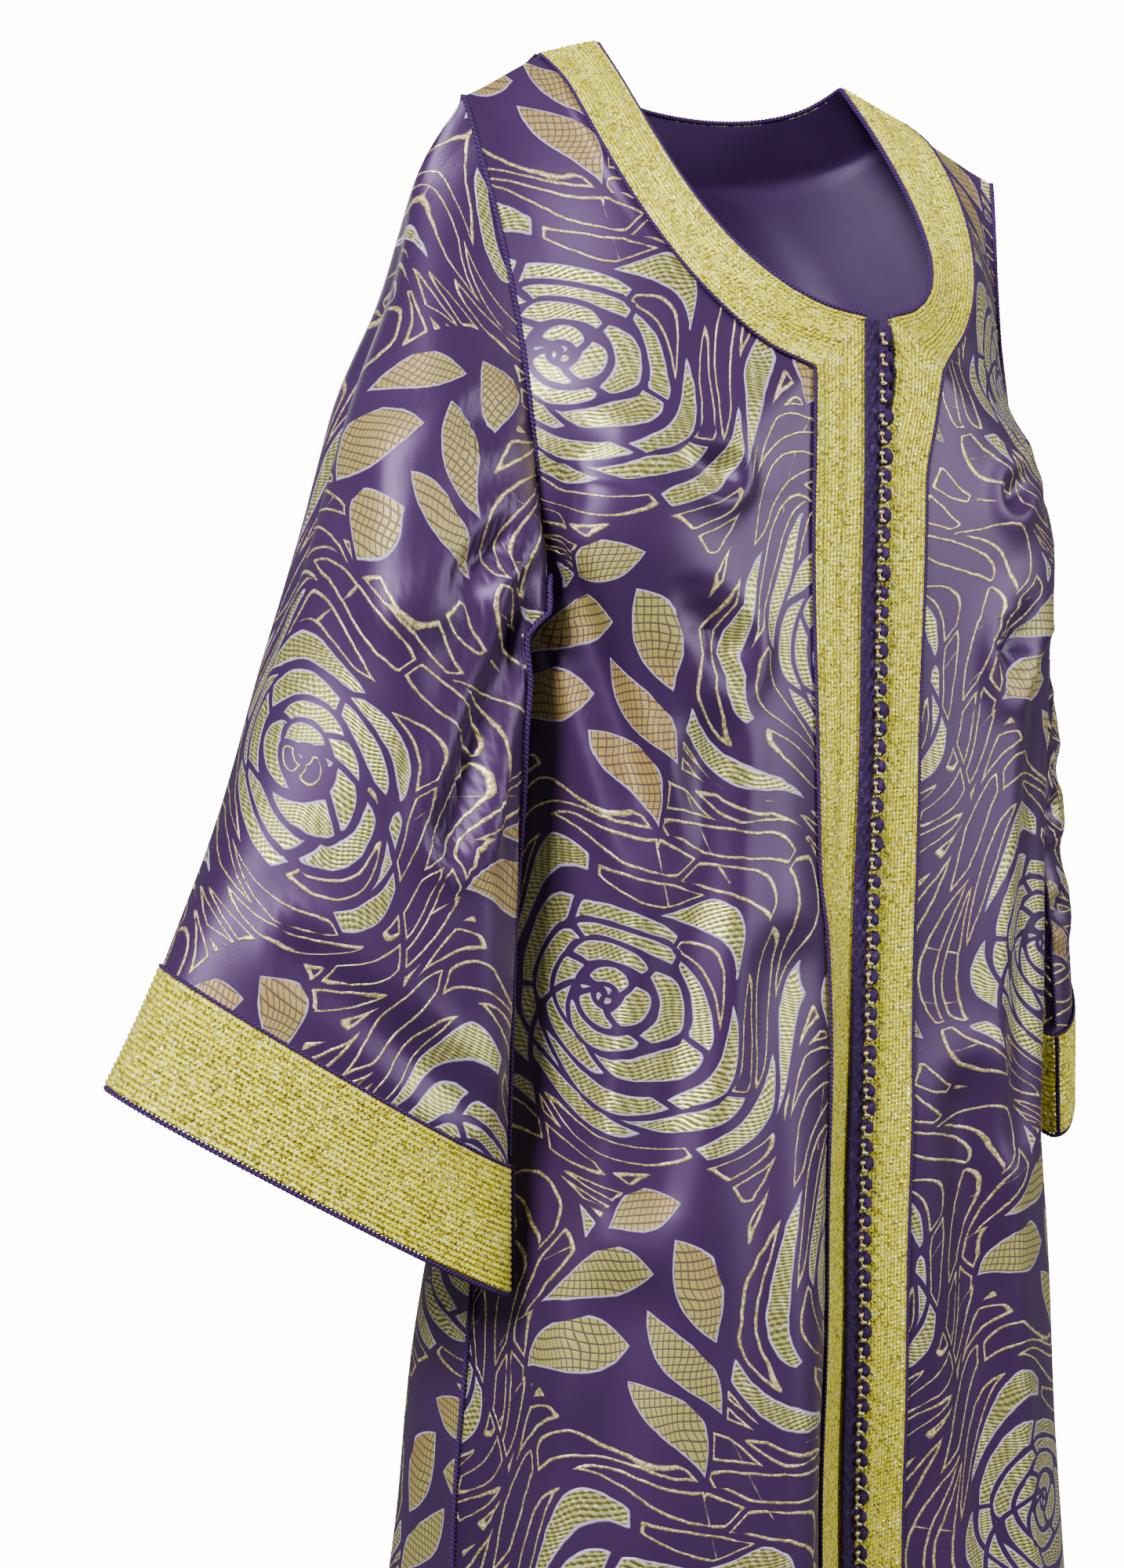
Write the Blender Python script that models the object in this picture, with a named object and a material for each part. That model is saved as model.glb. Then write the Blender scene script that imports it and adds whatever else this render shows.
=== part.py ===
"""A Moroccan kaftan, worn and open at the neck, as its sewn pieces.

Metres, +Z up, the front towards -Y and the wearer's left towards +X. The origin is between the two
points where the shoulders meet the neck, on top of the shoulders, where the wearer holds the garment.
"""
import math

import bmesh
import bpy
import numpy as np

for old in list(bpy.data.objects):
    bpy.data.objects.remove(old, do_unlink=True)

RIGHT, LEFT = -1, 1
SIDE_NAME = {RIGHT: "right", LEFT: "left"}
FRONT, BACK = -1, 1

# Driving sizes of the garment
HEM_HEIGHT = -1.40
NECK_FRONT_HEIGHT = -0.160
UNDERARM_HEIGHT = -0.272
BAND_WIDTH = 0.038
SHOULDER_REACH = {RIGHT: 0.205, LEFT: 0.212}

# Thicknesses and clearances
CLOTH = 0.0015
BAND = 0.0018
LAID_ON = 0.0003
SEAM_GAP = 0.0003
ARMHOLE_GAP = 0.0009
CORD_CLEARANCE = 0.0005

# Cord and button sizes
EDGE_CORD_RADIUS = 0.0017
THIN_CORD_RADIUS = 0.0012
BRAID_WIDTH = 0.0105
BRAID_THICKNESS = 0.0020
BUTTON_PITCH = 0.0110
BUTTON_RADIUS = 0.0034
BUTTON_WAIST = 0.0018

# Rows and columns of the cloth grids
NECK_ROWS = 9
ARMHOLE_ROWS = 12
PANEL_ROWS = 27
BAND_COLUMNS = 2
CLOTH_COLUMNS = 8
SLEEVE_RINGS = 12
CUFF_RINGS = 2

# Body sections from the underarm down: height, half-width on each side, depth of each side seam, of the
# centre front and of the centre back, and how far each front stands out before its edge
BODY = {
    "height":       (-0.272, -0.35, -0.45, -0.55, -0.65, -0.75, -0.90, -1.10, -1.40),
    "right":        (0.187, 0.181, 0.179, 0.185, 0.198, 0.212, 0.224, 0.250, 0.300),
    "left":         (0.190, 0.194, 0.199, 0.207, 0.218, 0.231, 0.244, 0.266, 0.305),
    "side_right":   (-0.048, -0.028, -0.014, -0.008, -0.006, -0.006, -0.005, 0.000, 0.000),
    "side_left":    (-0.048, -0.040, -0.032, -0.023, -0.015, -0.010, -0.005, 0.000, 0.000),
    "front":        (-0.109, -0.108, -0.105, -0.102, -0.099, -0.097, -0.094, -0.098, -0.110),
    "back":         (0.134, 0.126, 0.112, 0.112, 0.122, 0.130, 0.138, 0.152, 0.180),
    "valley_right": (0.000, 0.005, 0.016, 0.028, 0.039, 0.048, 0.059, 0.064, 0.068),
    "valley_left":  (0.000, 0.000, 0.002, 0.005, 0.008, 0.011, 0.017, 0.028, 0.040),
}
VALLEY_WIDTH = 0.078
BODY_AXIS_DEPTH = 0.02

# Front opening: how wide the left edge gapes at each distance below the shoulders
GAPE = {
    "below": (0.160, 0.178, 0.195, 0.215, 0.235, 0.260),
    "width": (0.010, 0.013, 0.014, 0.008, 0.002, 0.000),
}
RIGHT_EDGE = -0.005
LEFT_EDGE = 0.0045

# Neck curves from the shoulder to the middle: half-width, depth and height at the shoulder, depth and
# height in the middle, and the roundness of the depth and of the height
NECK = {
    (FRONT, "inner"): (0.0980, 0.0175, 0.002, -0.1080, -0.160, 0.50, 0.53),
    (FRONT, "outer"): (0.1436, 0.0098, -0.0142, -0.1080, -0.1965, 0.591, 0.83),
    (BACK, "inner"): (0.0980, 0.0175, 0.002, 0.062, -0.022, 0.70, 0.90),
    (BACK, "outer"): (0.1436, 0.0098, -0.0142, 0.086, -0.055, 0.70, 0.90),
}

# Armhole from the shoulder tip to the underarm, on the front and on the back
ARMHOLE = {
    FRONT: ((0.205, -0.003, -0.046), (0.199, -0.012, -0.082), (0.193, -0.021, -0.122),
            (0.188, -0.032, -0.177), (0.187, -0.044, -0.240), (0.187, -0.048, -0.272)),
    BACK: ((0.205, -0.003, -0.046), (0.200, 0.014, -0.080), (0.190, 0.034, -0.120),
           (0.180, 0.050, -0.175), (0.180, 0.030, -0.245), (0.187, -0.048, -0.272)),
}

# Centre back from below the neck band down to the underarm: height and depth
CENTRE_BACK = {
    "height": (-0.055, -0.100, -0.150, -0.210, -0.272),
    "depth": (0.086, 0.108, 0.124, 0.133, 0.134),
}

# Sleeves from the armhole to the cuff edge: the fold along the top, the seam underneath, how far the
# front and the back stand out from the line between them, and which way in degrees outward from
# straight forward and from straight back
SLEEVE = {
    RIGHT: {
        "along": (0.00, 0.05, 0.14, 0.34, 0.58, 0.88, 1.00),
        "top": ((0.205, -0.003, -0.046), (0.220, 0.006, -0.066), (0.233, 0.012, -0.121),
                (0.268, 0.018, -0.232), (0.316, 0.020, -0.358), (0.383, 0.020, -0.515),
                (0.412, 0.020, -0.567)),
        "under": ((0.187, -0.048, -0.272), (0.196, -0.058, -0.290), (0.207, -0.069, -0.325),
                  (0.214, -0.063, -0.405), (0.214, -0.057, -0.505), (0.210, -0.049, -0.630),
                  (0.207, -0.044, -0.694)),
        "front": (0.020, 0.034, 0.046, 0.052, 0.050, 0.046, 0.044),
        "front_way": (60, 60, 58, 52, 37, 22, 18),
        "back": (0.060, 0.063, 0.066, 0.066, 0.060, 0.052, 0.050),
        "back_way": (5, 5, 10, 8, -4, -15, -18),
    },
    LEFT: {
        "along": (0.00, 0.05, 0.14, 0.34, 0.58, 0.88, 1.00),
        "top": ((0.212, -0.003, -0.046), (0.228, 0.010, -0.066), (0.240, 0.030, -0.120),
                (0.262, 0.066, -0.222), (0.280, 0.100, -0.345), (0.296, 0.124, -0.486),
                (0.301, 0.131, -0.537)),
        "under": ((0.190, -0.048, -0.272), (0.197, -0.044, -0.290), (0.208, -0.036, -0.322),
                  (0.222, -0.034, -0.400), (0.233, -0.036, -0.495), (0.243, -0.040, -0.608),
                  (0.245, -0.041, -0.668)),
        "front": (0.018, 0.020, 0.022, 0.027, 0.034, 0.036, 0.036),
        "front_way": (70, 70, 70, 70, 70, 70, 70),
        "back": (0.046, 0.036, 0.028, 0.024, 0.024, 0.026, 0.026),
        "back_way": (0, 4, -8, -45, -62, -70, -70),
    },
}

# Soft flutes of the skirt: where round the body in degrees from the front, how wide, the height they
# start from, and how far they stand out (or in) at the hem
FLUTES = (
    {"around": -64, "spread": 22, "start": -0.80, "out": 0.014},
    {"around": -112, "spread": 22, "start": -0.60, "out": 0.018},
    {"around": -146, "spread": 20, "start": -0.42, "out": -0.016},
    {"around": 180, "spread": 22, "start": -0.36, "out": 0.018},
    {"around": 148, "spread": 20, "start": -0.48, "out": -0.014},
    {"around": 110, "spread": 22, "start": -0.62, "out": 0.018},
    {"around": 60, "spread": 22, "start": -0.75, "out": 0.012},
)

# Main folds of the sleeves: how far round from the top over the front in degrees and how far down the
# middle lies, how wide it is each way, and how far it stands out (or in)
SLEEVE_FOLDS = {
    RIGHT: (
        {"around": 138, "along": 0.24, "spread": 48, "length": 0.22, "out": -0.014},
        {"around": 84, "along": 0.34, "spread": 40, "length": 0.30, "out": 0.006},
        {"around": 236, "along": 0.26, "spread": 44, "length": 0.20, "out": -0.010},
        {"around": 285, "along": 0.60, "spread": 46, "length": 0.40, "out": -0.008},
    ),
    LEFT: (
        {"around": 92, "along": 0.36, "spread": 60, "length": 0.07, "out": -0.010},
        {"around": 96, "along": 0.49, "spread": 60, "length": 0.08, "out": 0.005},
        {"around": 236, "along": 0.26, "spread": 44, "length": 0.20, "out": -0.008},
        {"around": 30, "along": 0.70, "spread": 40, "length": 0.28, "out": -0.006},
    ),
}
CUFF_START = 0.868
CAP_BLEND = 0.30
NECK_DIP = 0.9


def finish(name, color, roughness, metallic=0.0):
    """Return a plain material for the pieces of one finish."""
    material = bpy.data.materials.new(name)
    material.use_nodes = True
    shader = material.node_tree.nodes["Principled BSDF"]
    shader.inputs["Base Color"].default_value = (*color, 1.0)
    shader.inputs["Roughness"].default_value = roughness
    shader.inputs["Metallic"].default_value = metallic
    return material


BROCADE = finish("purple_brocade", (0.098, 0.042, 0.205), 0.45)
GOLD_BAND = finish("gold_woven_band", (0.55, 0.45, 0.10), 0.40, 0.4)
CORD = finish("purple_cord", (0.030, 0.012, 0.120), 0.60)
BRAID = finish("button_braid", (0.018, 0.006, 0.070), 0.75)

garment = bpy.data.collections.new("kaftan")
bpy.context.scene.collection.children.link(garment)


def eased(value):
    """Return value held between 0 and 1, eased at both ends."""
    value = min(max(value, 0.0), 1.0)
    return value * value * (3.0 - 2.0 * value)


def unit(vectors):
    """Return the vectors at length one."""
    vectors = np.asarray(vectors, float)
    return vectors / np.linalg.norm(vectors, axis=-1, keepdims=True)


def smooth_through(stations, values, at):
    """Return the value at a station of the smooth curve through the values."""
    stations = np.asarray(stations, float)
    values = np.asarray(values, float)
    if stations[0] > stations[-1]:
        stations, values = stations[::-1], values[::-1]
    slopes = np.gradient(values, stations, axis=0)
    at = min(max(at, stations[0]), stations[-1])
    k = min(max(int(np.searchsorted(stations, at)) - 1, 0), len(stations) - 2)
    span = stations[k + 1] - stations[k]
    u = (at - stations[k]) / span
    return ((2 * u**3 - 3 * u**2 + 1) * values[k] + (u**3 - 2 * u**2 + u) * span * slopes[k]
            + (3 * u**2 - 2 * u**3) * values[k + 1] + (u**3 - u**2) * span * slopes[k + 1])


def body_size(column, height):
    """Return one size of the body sections at a height."""
    return float(smooth_through(BODY["height"], BODY[column], height))


def evenly(curve, count):
    """Return count + 1 points of a curve of 0 to 1, the same distance apart."""
    dense = np.array([curve(u) for u in np.linspace(0.0, 1.0, 241)])
    run = np.concatenate(([0.0], np.cumsum(np.linalg.norm(np.diff(dense, axis=0), axis=1))))
    stops = np.linspace(0.0, run[-1], count + 1)
    return np.stack([np.interp(stops, run, dense[:, axis]) for axis in range(3)], axis=1)


def neck_curve(face, edge, side, end_x=0.0):
    """Return the neck line of one side as a curve from the shoulder to end_x near the middle."""
    half, depth_0, height_0, depth_1, height_1, depth_round, height_round = NECK[face, edge]
    last = math.asin(abs(end_x) / half)

    def point(u):
        angle = math.pi / 2 + (last - math.pi / 2) * u
        forward = math.cos(angle)
        return (side * half * math.sin(angle),
                depth_0 + (depth_1 - depth_0) * forward**depth_round,
                height_0 + (height_1 - height_0) * forward**height_round)

    return point


def armhole_curve(face, side):
    """Return the armhole's edge of one side as a curve from the shoulder tip to the underarm."""
    points = np.array(ARMHOLE[face])
    reach = SHOULDER_REACH[side] - SHOULDER_REACH[RIGHT]
    points[:, 0] += reach * np.linspace(1.0, 0.45, len(points))
    points[:, 0] *= side
    stations = np.linspace(0.0, 1.0, len(points))
    return lambda u: smooth_through(stations, points, u)


def front_edge(side, height):
    """Return how far from the middle a front's opening edge lies at a height."""
    if side == RIGHT:
        return RIGHT_EDGE
    return LEFT_EDGE + float(np.interp(-height, GAPE["below"], GAPE["width"]))


def heights_down(start, first_stop):
    """Return the heights of the rows from the neck's last one to the hem."""
    upper = np.interp(range(NECK_ROWS, ARMHOLE_ROWS), (NECK_ROWS, ARMHOLE_ROWS), (start, first_stop))
    lower = np.linspace(first_stop, HEM_HEIGHT, PANEL_ROWS - ARMHOLE_ROWS + 1)
    return np.concatenate((upper, lower))


def bump(distance, reach):
    """Return 1 in the middle of a fold, falling softly to 0 at its reach."""
    share = min(abs(distance) / reach, 1.0)
    return math.cos(math.pi / 2 * share)**2


def fluted(point):
    """Return a point of the skirt moved out or in by the flutes that it lies on."""
    plan = np.array((point[0], point[1] - BODY_AXIS_DEPTH, 0.0))
    around = math.degrees(math.atan2(plan[0], -plan[1]))
    out = 0.0
    for flute in FLUTES:
        apart = (around - flute["around"] + 180.0) % 360.0 - 180.0
        drop = (flute["start"] - point[2]) / (flute["start"] - HEM_HEIGHT)
        if drop > 0:
            out += flute["out"] * drop * bump(apart, flute["spread"])
    return point + unit(plan) * out


def outer_edge(face, side):
    """Return a panel's outer edge: the armhole, then the side seam down to the hem."""
    armhole = evenly(armhole_curve(face, side), ARMHOLE_ROWS)
    name = SIDE_NAME[side]
    seam = [(side * body_size(name, z), body_size(f"side_{name}", z), z)
            for z in heights_down(NECK_FRONT_HEIGHT, UNDERARM_HEIGHT)[ARMHOLE_ROWS - NECK_ROWS:]]
    seam[0] = armhole[-1]
    return np.concatenate((armhole[:-1], seam))


def cloth_row(start, stop, row, face, side):
    """Return one row of cloth from beside the band out to the armhole or the side seam."""
    chord = stop - start
    reach = np.linalg.norm(chord)
    straight = chord / reach
    leave = eased((row - 2) / 7)
    arrive = 0.85 * eased((row - 5) / 7)
    outward = np.array((side, 0.0, 0.0))
    backward = np.array((0.0, -face, 0.0))
    dip = NECK_DIP * bump(row - NECK_ROWS, 4) * (face == FRONT)
    start_way = unit((1 - leave) * straight + leave * outward + dip * np.array((0.0, 0.0, -1.0)))
    stop_way = unit((1 - arrive) * straight + arrive * backward)
    handle = 0.36 + 0.14 * arrive
    near = start + start_way * reach * handle
    far = stop - stop_way * reach * handle
    u = np.linspace(0.0, 1.0, CLOTH_COLUMNS + 1)[:, None]
    return (1 - u)**3 * start + 3 * (1 - u)**2 * u * near + 3 * (1 - u) * u**2 * far + u**3 * stop


def front_points(side):
    """Return the grid of one front, a row for each step down and a column for each step out."""
    edge_0 = front_edge(side, NECK_FRONT_HEIGHT)
    inner_neck = evenly(neck_curve(FRONT, "inner", side, edge_0), NECK_ROWS)
    outer_neck = evenly(neck_curve(FRONT, "outer", side, edge_0 + side * BAND_WIDTH), NECK_ROWS)
    valley = f"valley_{SIDE_NAME[side]}"
    inner_heights = heights_down(inner_neck[-1][2], UNDERARM_HEIGHT)
    band_heights = heights_down(outer_neck[-1][2], UNDERARM_HEIGHT)
    stops = outer_edge(FRONT, side)
    rows = []
    for row in range(PANEL_ROWS + 1):
        if row < NECK_ROWS:
            inner, band = inner_neck[row], outer_neck[row]
        else:
            inner_z = inner_heights[row - NECK_ROWS]
            band_z = band_heights[row - NECK_ROWS]
            inner = np.array((front_edge(side, inner_z), body_size("front", inner_z), inner_z))
            band = np.array((front_edge(side, band_z) + side * BAND_WIDTH, body_size("front", band_z), band_z))
            inner[1] -= body_size(valley, inner_z)
            band[1] -= body_size(valley, band_z)
        under_band = [inner + (band - inner) * k / BAND_COLUMNS for k in range(BAND_COLUMNS)]
        points = np.vstack((under_band, cloth_row(band, stops[row], row, FRONT, side)))
        for point in points:
            from_edge = abs(point[0] - front_edge(side, point[2]))
            if point[2] <= UNDERARM_HEIGHT and from_edge < VALLEY_WIDTH:
                point[1] += body_size(valley, point[2]) * math.cos(math.pi / 2 * from_edge / VALLEY_WIDTH)**2
        rows.append(points)
    return np.array([[fluted(point) for point in row] for row in rows])


def back_points(side):
    """Return one half of the back: the grid under the neck band, and the grid below it."""
    inner = evenly(neck_curve(BACK, "inner", side), NECK_ROWS)
    outer = evenly(neck_curve(BACK, "outer", side), NECK_ROWS)
    under_band = np.stack([inner + (outer - inner) * k / BAND_COLUMNS for k in range(BAND_COLUMNS + 1)], axis=1)
    stops = outer_edge(BACK, side)
    heights = heights_down(outer[-1][2], UNDERARM_HEIGHT)
    rows = []
    for row in range(PANEL_ROWS + 1):
        if row < NECK_ROWS:
            start = outer[row]
        else:
            z = heights[row - NECK_ROWS]
            if z > UNDERARM_HEIGHT:
                depth = float(smooth_through(CENTRE_BACK["height"], CENTRE_BACK["depth"], z))
            else:
                depth = body_size("back", z)
            start = np.array((0.0, depth, z))
        rows.append([fluted(point) for point in cloth_row(start, stops[row], row, BACK, side)])
    return under_band, np.array(rows)


def sleeve_points(side):
    """Return a sleeve's rings, from the armhole to the cuff's edge, each starting at the top."""
    size = SLEEVE[side]
    half = ARMHOLE_ROWS
    front = evenly(armhole_curve(FRONT, side), half)
    back = evenly(armhole_curve(BACK, side), half)
    armhole = np.vstack((front, back[::-1][1:]))
    mirror = np.array((side, 1.0, 1.0))
    angles = np.linspace(0.0, 2.0 * math.pi, 2 * half + 1)
    stops = np.concatenate((np.linspace(0.0, CUFF_START, SLEEVE_RINGS - CUFF_RINGS + 1),
                            np.linspace(CUFF_START, 1.0, CUFF_RINGS + 1)[1:]))

    def ring(at):
        top = smooth_through(size["along"], np.array(size["top"]), at) * mirror
        under = smooth_through(size["along"], np.array(size["under"]), at) * mirror
        middle, across = (top + under) / 2, (top - under) / 2
        depth_ways = []
        for face, size_key, way_key in ((FRONT, "front", "front_way"), (BACK, "back", "back_way")):
            way = math.radians(float(smooth_through(size["along"], size[way_key], at)))
            out = float(smooth_through(size["along"], size[size_key], at))
            depth_ways.append(np.array((side * math.sin(way), face * math.cos(way), 0.0)) * out)
        points = []
        for angle in angles:
            depth_way = depth_ways[0] if math.sin(angle) > 0 else depth_ways[1]
            out = across * math.cos(angle) + depth_way * abs(math.sin(angle))
            fold_out = 0.0
            for fold in SLEEVE_FOLDS[side]:
                apart = (math.degrees(angle) - fold["around"] + 180.0) % 360.0 - 180.0
                fold_out += fold["out"] * bump(apart, fold["spread"]) * bump(at - fold["along"], fold["length"])
            points.append(middle + out + unit(out) * fold_out)
        return np.array(points)

    first = ring(0.0)
    return np.array([ring(at) + (armhole - first) * (1.0 - eased(at / CAP_BLEND)) for at in stops])


def grid_normals(points, outward_from):
    """Return the cloth's outward direction at each point of a grid."""
    normals = unit(np.cross(np.gradient(points, axis=0), np.gradient(points, axis=1)))
    middle = tuple(size * 2 // 3 for size in points.shape[:2])
    if np.dot(normals[middle], points[middle] - outward_from) < 0:
        normals = -normals
    return normals


def share_normals(grids, least=-1.0):
    """Give points that pieces share at a seam one direction, and return how far each had to turn.

    Where the pieces meet in a crease so sharp that a direction's share falls under the least one, each
    keeps its own.
    """
    meets = {}
    for number, (points, normals) in enumerate(grids):
        for k, point in enumerate(points.reshape(-1, 3)):
            meets.setdefault(tuple(np.round(point, 5)), []).append((number, k))
    shares = [np.ones(points.shape[0] * points.shape[1]) for points, normals in grids]
    flats = [normals.reshape(-1, 3) for points, normals in grids]
    for places in meets.values():
        together = unit(sum(flats[number][k] for number, k in places))
        turns = [float(flats[number][k] @ together) for number, k in places]
        for (number, k), turn in zip(places, turns):
            shares[number][k] = turn
        if min(turns) >= least:
            for number, k in places:
                flats[number][k] = together
    return [share.reshape(points.shape[:2]) for share, (points, normals) in zip(shares, grids)]


def trimmed(points, rows=(0, 0), columns=(0, 0), gap=SEAM_GAP / 2):
    """Return the grid with the named ends drawn back by a gap, half a seam's unless it is given."""
    points = points.copy()
    if rows[0]:
        points[0] += unit(points[1] - points[0]) * gap
    if rows[1]:
        points[-1] += unit(points[-2] - points[-1]) * gap
    if columns[0]:
        points[:, 0] += unit(points[:, 1] - points[:, 0]) * gap
    if columns[1]:
        points[:, -1] += unit(points[:, -2] - points[:, -1]) * gap
    return points


def add_object(name, data, material):
    """Put an object for the data into the garment's collection."""
    piece = bpy.data.objects.new(name, data)
    data.materials.append(material)
    garment.objects.link(piece)
    return piece


def wall(name, grids, inner, outer, material):
    """Make a wall of cloth between two distances from the grids, welded where they meet."""
    bm = bmesh.new()
    shift = bm.verts.layers.float_vector.new("shift")
    for points, normals in grids:
        rows, columns = points.shape[0] - 1, points.shape[1] - 1
        made = bmesh.ops.create_grid(bm, x_segments=rows, y_segments=columns, size=1.0)["verts"]
        faces = {face for vert in made for face in vert.link_faces}
        bmesh.ops.triangulate(bm, faces=list(faces), quad_method="FIXED")
        for vert in made:
            row = round((vert.co.x + 1) / 2 * rows)
            column = round((vert.co.y + 1) / 2 * columns)
            vert.co = points[row, column] + normals[row, column] * inner
            vert[shift] = normals[row, column] * (outer - inner)
    bmesh.ops.remove_doubles(bm, verts=bm.verts[:], dist=1e-6)
    raised = bmesh.ops.extrude_face_region(bm, geom=bm.faces[:], use_keep_orig=True)["geom"]
    for vert in raised:
        if isinstance(vert, bmesh.types.BMVert):
            vert.co += vert[shift]
    bmesh.ops.recalc_face_normals(bm, faces=bm.faces[:])
    mesh = bpy.data.meshes.new(name)
    bm.to_mesh(mesh)
    bm.free()
    mesh.shade_smooth()
    mesh.set_sharp_from_angle(angle=math.radians(50))
    return add_object(name, mesh, material)


def cord(name, points, radius, material, cyclic=False, radii=None):
    """Make a cord through the points."""
    curve = bpy.data.curves.new(name, "CURVE")
    curve.dimensions = "3D"
    curve.bevel_depth = radius
    curve.bevel_resolution = 0
    curve.use_fill_caps = not cyclic
    spline = curve.splines.new("POLY")
    spline.points.add(len(points) - 1)
    for k, point in enumerate(points):
        spline.points[k].co = (*point, 1.0)
        if radii is not None:
            spline.points[k].radius = radii[k]
    spline.use_cyclic_u = cyclic
    return add_object(name, curve, material)


# Grids of every panel, with the seams' shared directions
fronts = {side: front_points(side) for side in (RIGHT, LEFT)}
backs = {side: back_points(side) for side in (RIGHT, LEFT)}
sleeves = {side: sleeve_points(side) for side in (RIGHT, LEFT)}

BODY_CORE = np.array((0.0, BODY_AXIS_DEPTH, -0.8))
front_ways = {side: grid_normals(fronts[side], BODY_CORE) for side in fronts}
back_ways = {}
for side, (under_band, below) in backs.items():
    back_ways[side] = (grid_normals(under_band, np.array((0.0, 0.0, -0.3))), grid_normals(below, BODY_CORE))
sleeve_ways = {side: grid_normals(sleeves[side], sleeves[side][8].mean(axis=0)) for side in sleeves}

body_grids = [(fronts[side], front_ways[side]) for side in fronts]
body_grids += [(backs[side][k], back_ways[side][k]) for side in backs for k in (0, 1)]
sleeve_grids = [(sleeves[side], sleeve_ways[side]) for side in sleeves]
share_normals(body_grids)
share_normals(sleeve_grids)
SHARPEST_SEAM = 0.45
turned = share_normals(body_grids + sleeve_grids, SHARPEST_SEAM)
armhole_turn = {side: turned[len(body_grids) + k][0] for k, side in enumerate(sleeves)}

# Body panels and sleeves
for side in (RIGHT, LEFT):
    panel = trimmed(fronts[side], rows=(1, 0), columns=(0, 1))
    wall(f"front_{SIDE_NAME[side]}", [(panel, front_ways[side])], -CLOTH, 0.0, BROCADE)
back_grids = []
for side in (RIGHT, LEFT):
    back_grids.append((trimmed(backs[side][0], rows=(1, 0)), back_ways[side][0]))
    back_grids.append((trimmed(backs[side][1], rows=(1, 0), columns=(0, 1)), back_ways[side][1]))
wall("back", back_grids, -CLOTH, 0.0, BROCADE)
for side in (RIGHT, LEFT):
    tube = trimmed(sleeves[side], rows=(1, 0), gap=ARMHOLE_GAP)
    wall(f"sleeve_{SIDE_NAME[side]}", [(tube, sleeve_ways[side])], -CLOTH, 0.0, BROCADE)

# Gold bands, laid on the panels
BAND_TOP = LAID_ON + BAND
on_band = slice(0, BAND_COLUMNS + 1)
for side in (RIGHT, LEFT):
    name = SIDE_NAME[side]
    points, ways = fronts[side], front_ways[side]
    neck = trimmed(points[:NECK_ROWS + 1, on_band], rows=(1, 1))
    wall(f"neck_band_{name}", [(neck, ways[:NECK_ROWS + 1, on_band])], LAID_ON, BAND_TOP, GOLD_BAND)
    down = trimmed(points[NECK_ROWS:, on_band], rows=(1, 0))
    wall(f"front_band_{name}", [(down, ways[NECK_ROWS:, on_band])], LAID_ON, BAND_TOP, GOLD_BAND)
    cuff = sleeves[side][-1 - CUFF_RINGS:]
    wall(f"cuff_band_{name}", [(cuff, sleeve_ways[side][-1 - CUFF_RINGS:])], LAID_ON, BAND_TOP, GOLD_BAND)
wall("neck_band_back", [(trimmed(backs[side][0], rows=(1, 0)), back_ways[side][0]) for side in (RIGHT, LEFT)],
     LAID_ON, BAND_TOP, GOLD_BAND)


def beside(edge, inside, ways, out, up):
    """Return a line of points beside an edge of the cloth, out from it and up from its surface."""
    along = unit(np.gradient(edge, axis=0))
    away = edge - inside
    away = unit(away - along * (away * along).sum(axis=1, keepdims=True))
    return edge + away * out + ways * up


def joined(*runs):
    """Return the runs of points as one."""
    return np.vstack(runs)


# Cord on the neck's edge and on the left opening edge
edge_step = EDGE_CORD_RADIUS + CORD_CLEARANCE
neck_runs = {}
for side in (RIGHT, LEFT):
    front_run = beside(fronts[side][:NECK_ROWS + 1, 0], fronts[side][:NECK_ROWS + 1, 1],
                       front_ways[side][:NECK_ROWS + 1, 0], edge_step, 0.0)
    corner_up = unit(fronts[side][NECK_ROWS, 0] - fronts[side][NECK_ROWS + 1, 0])
    front_run[-1] = fronts[side][NECK_ROWS, 0] + corner_up * edge_step
    back_run = beside(backs[side][0][1:, 0], backs[side][0][1:, 1], back_ways[side][0][1:, 0], edge_step, 0.0)
    neck_runs[side] = joined(front_run[::-1], back_run)
cord("neck_edge_cord", joined(neck_runs[RIGHT], neck_runs[LEFT][::-1][1:]), EDGE_CORD_RADIUS, CORD)
left_run = beside(fronts[LEFT][NECK_ROWS:, 0], fronts[LEFT][NECK_ROWS:, 1], front_ways[LEFT][NECK_ROWS:, 0],
                  edge_step, 0.0)
left_run[0] += unit(left_run[1] - left_run[0]) * 2 * EDGE_CORD_RADIUS
cord("front_edge_cord_left", left_run, EDGE_CORD_RADIUS, CORD)

# Thin cord along the bands' outer edge
thin_step = THIN_CORD_RADIUS + CORD_CLEARANCE
thin_rise = thin_step + 0.0004
corner = slice(NECK_ROWS, NECK_ROWS + 1)
MITRE_STRETCH = 1.4
CORD_END = 0.0015
for side in (RIGHT, LEFT):
    edge, inside = fronts[side][:, BAND_COLUMNS], fronts[side][:, 0]
    ways = front_ways[side][:, BAND_COLUMNS]
    neck_run = beside(edge[:NECK_ROWS], inside[:NECK_ROWS], ways[:NECK_ROWS], thin_step, thin_rise)
    down_run = beside(edge[NECK_ROWS + 1:], inside[NECK_ROWS + 1:], ways[NECK_ROWS + 1:], thin_step, thin_rise)
    turn = edge[corner] + unit(edge[corner] - inside[corner]) * thin_step * MITRE_STRETCH + ways[corner] * thin_rise
    run = joined(neck_run, turn, down_run)
    run[0] += unit(run[1] - run[0]) * CORD_END
    cord(f"band_cord_{SIDE_NAME[side]}", run, THIN_CORD_RADIUS, CORD)
back_runs = {}
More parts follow.
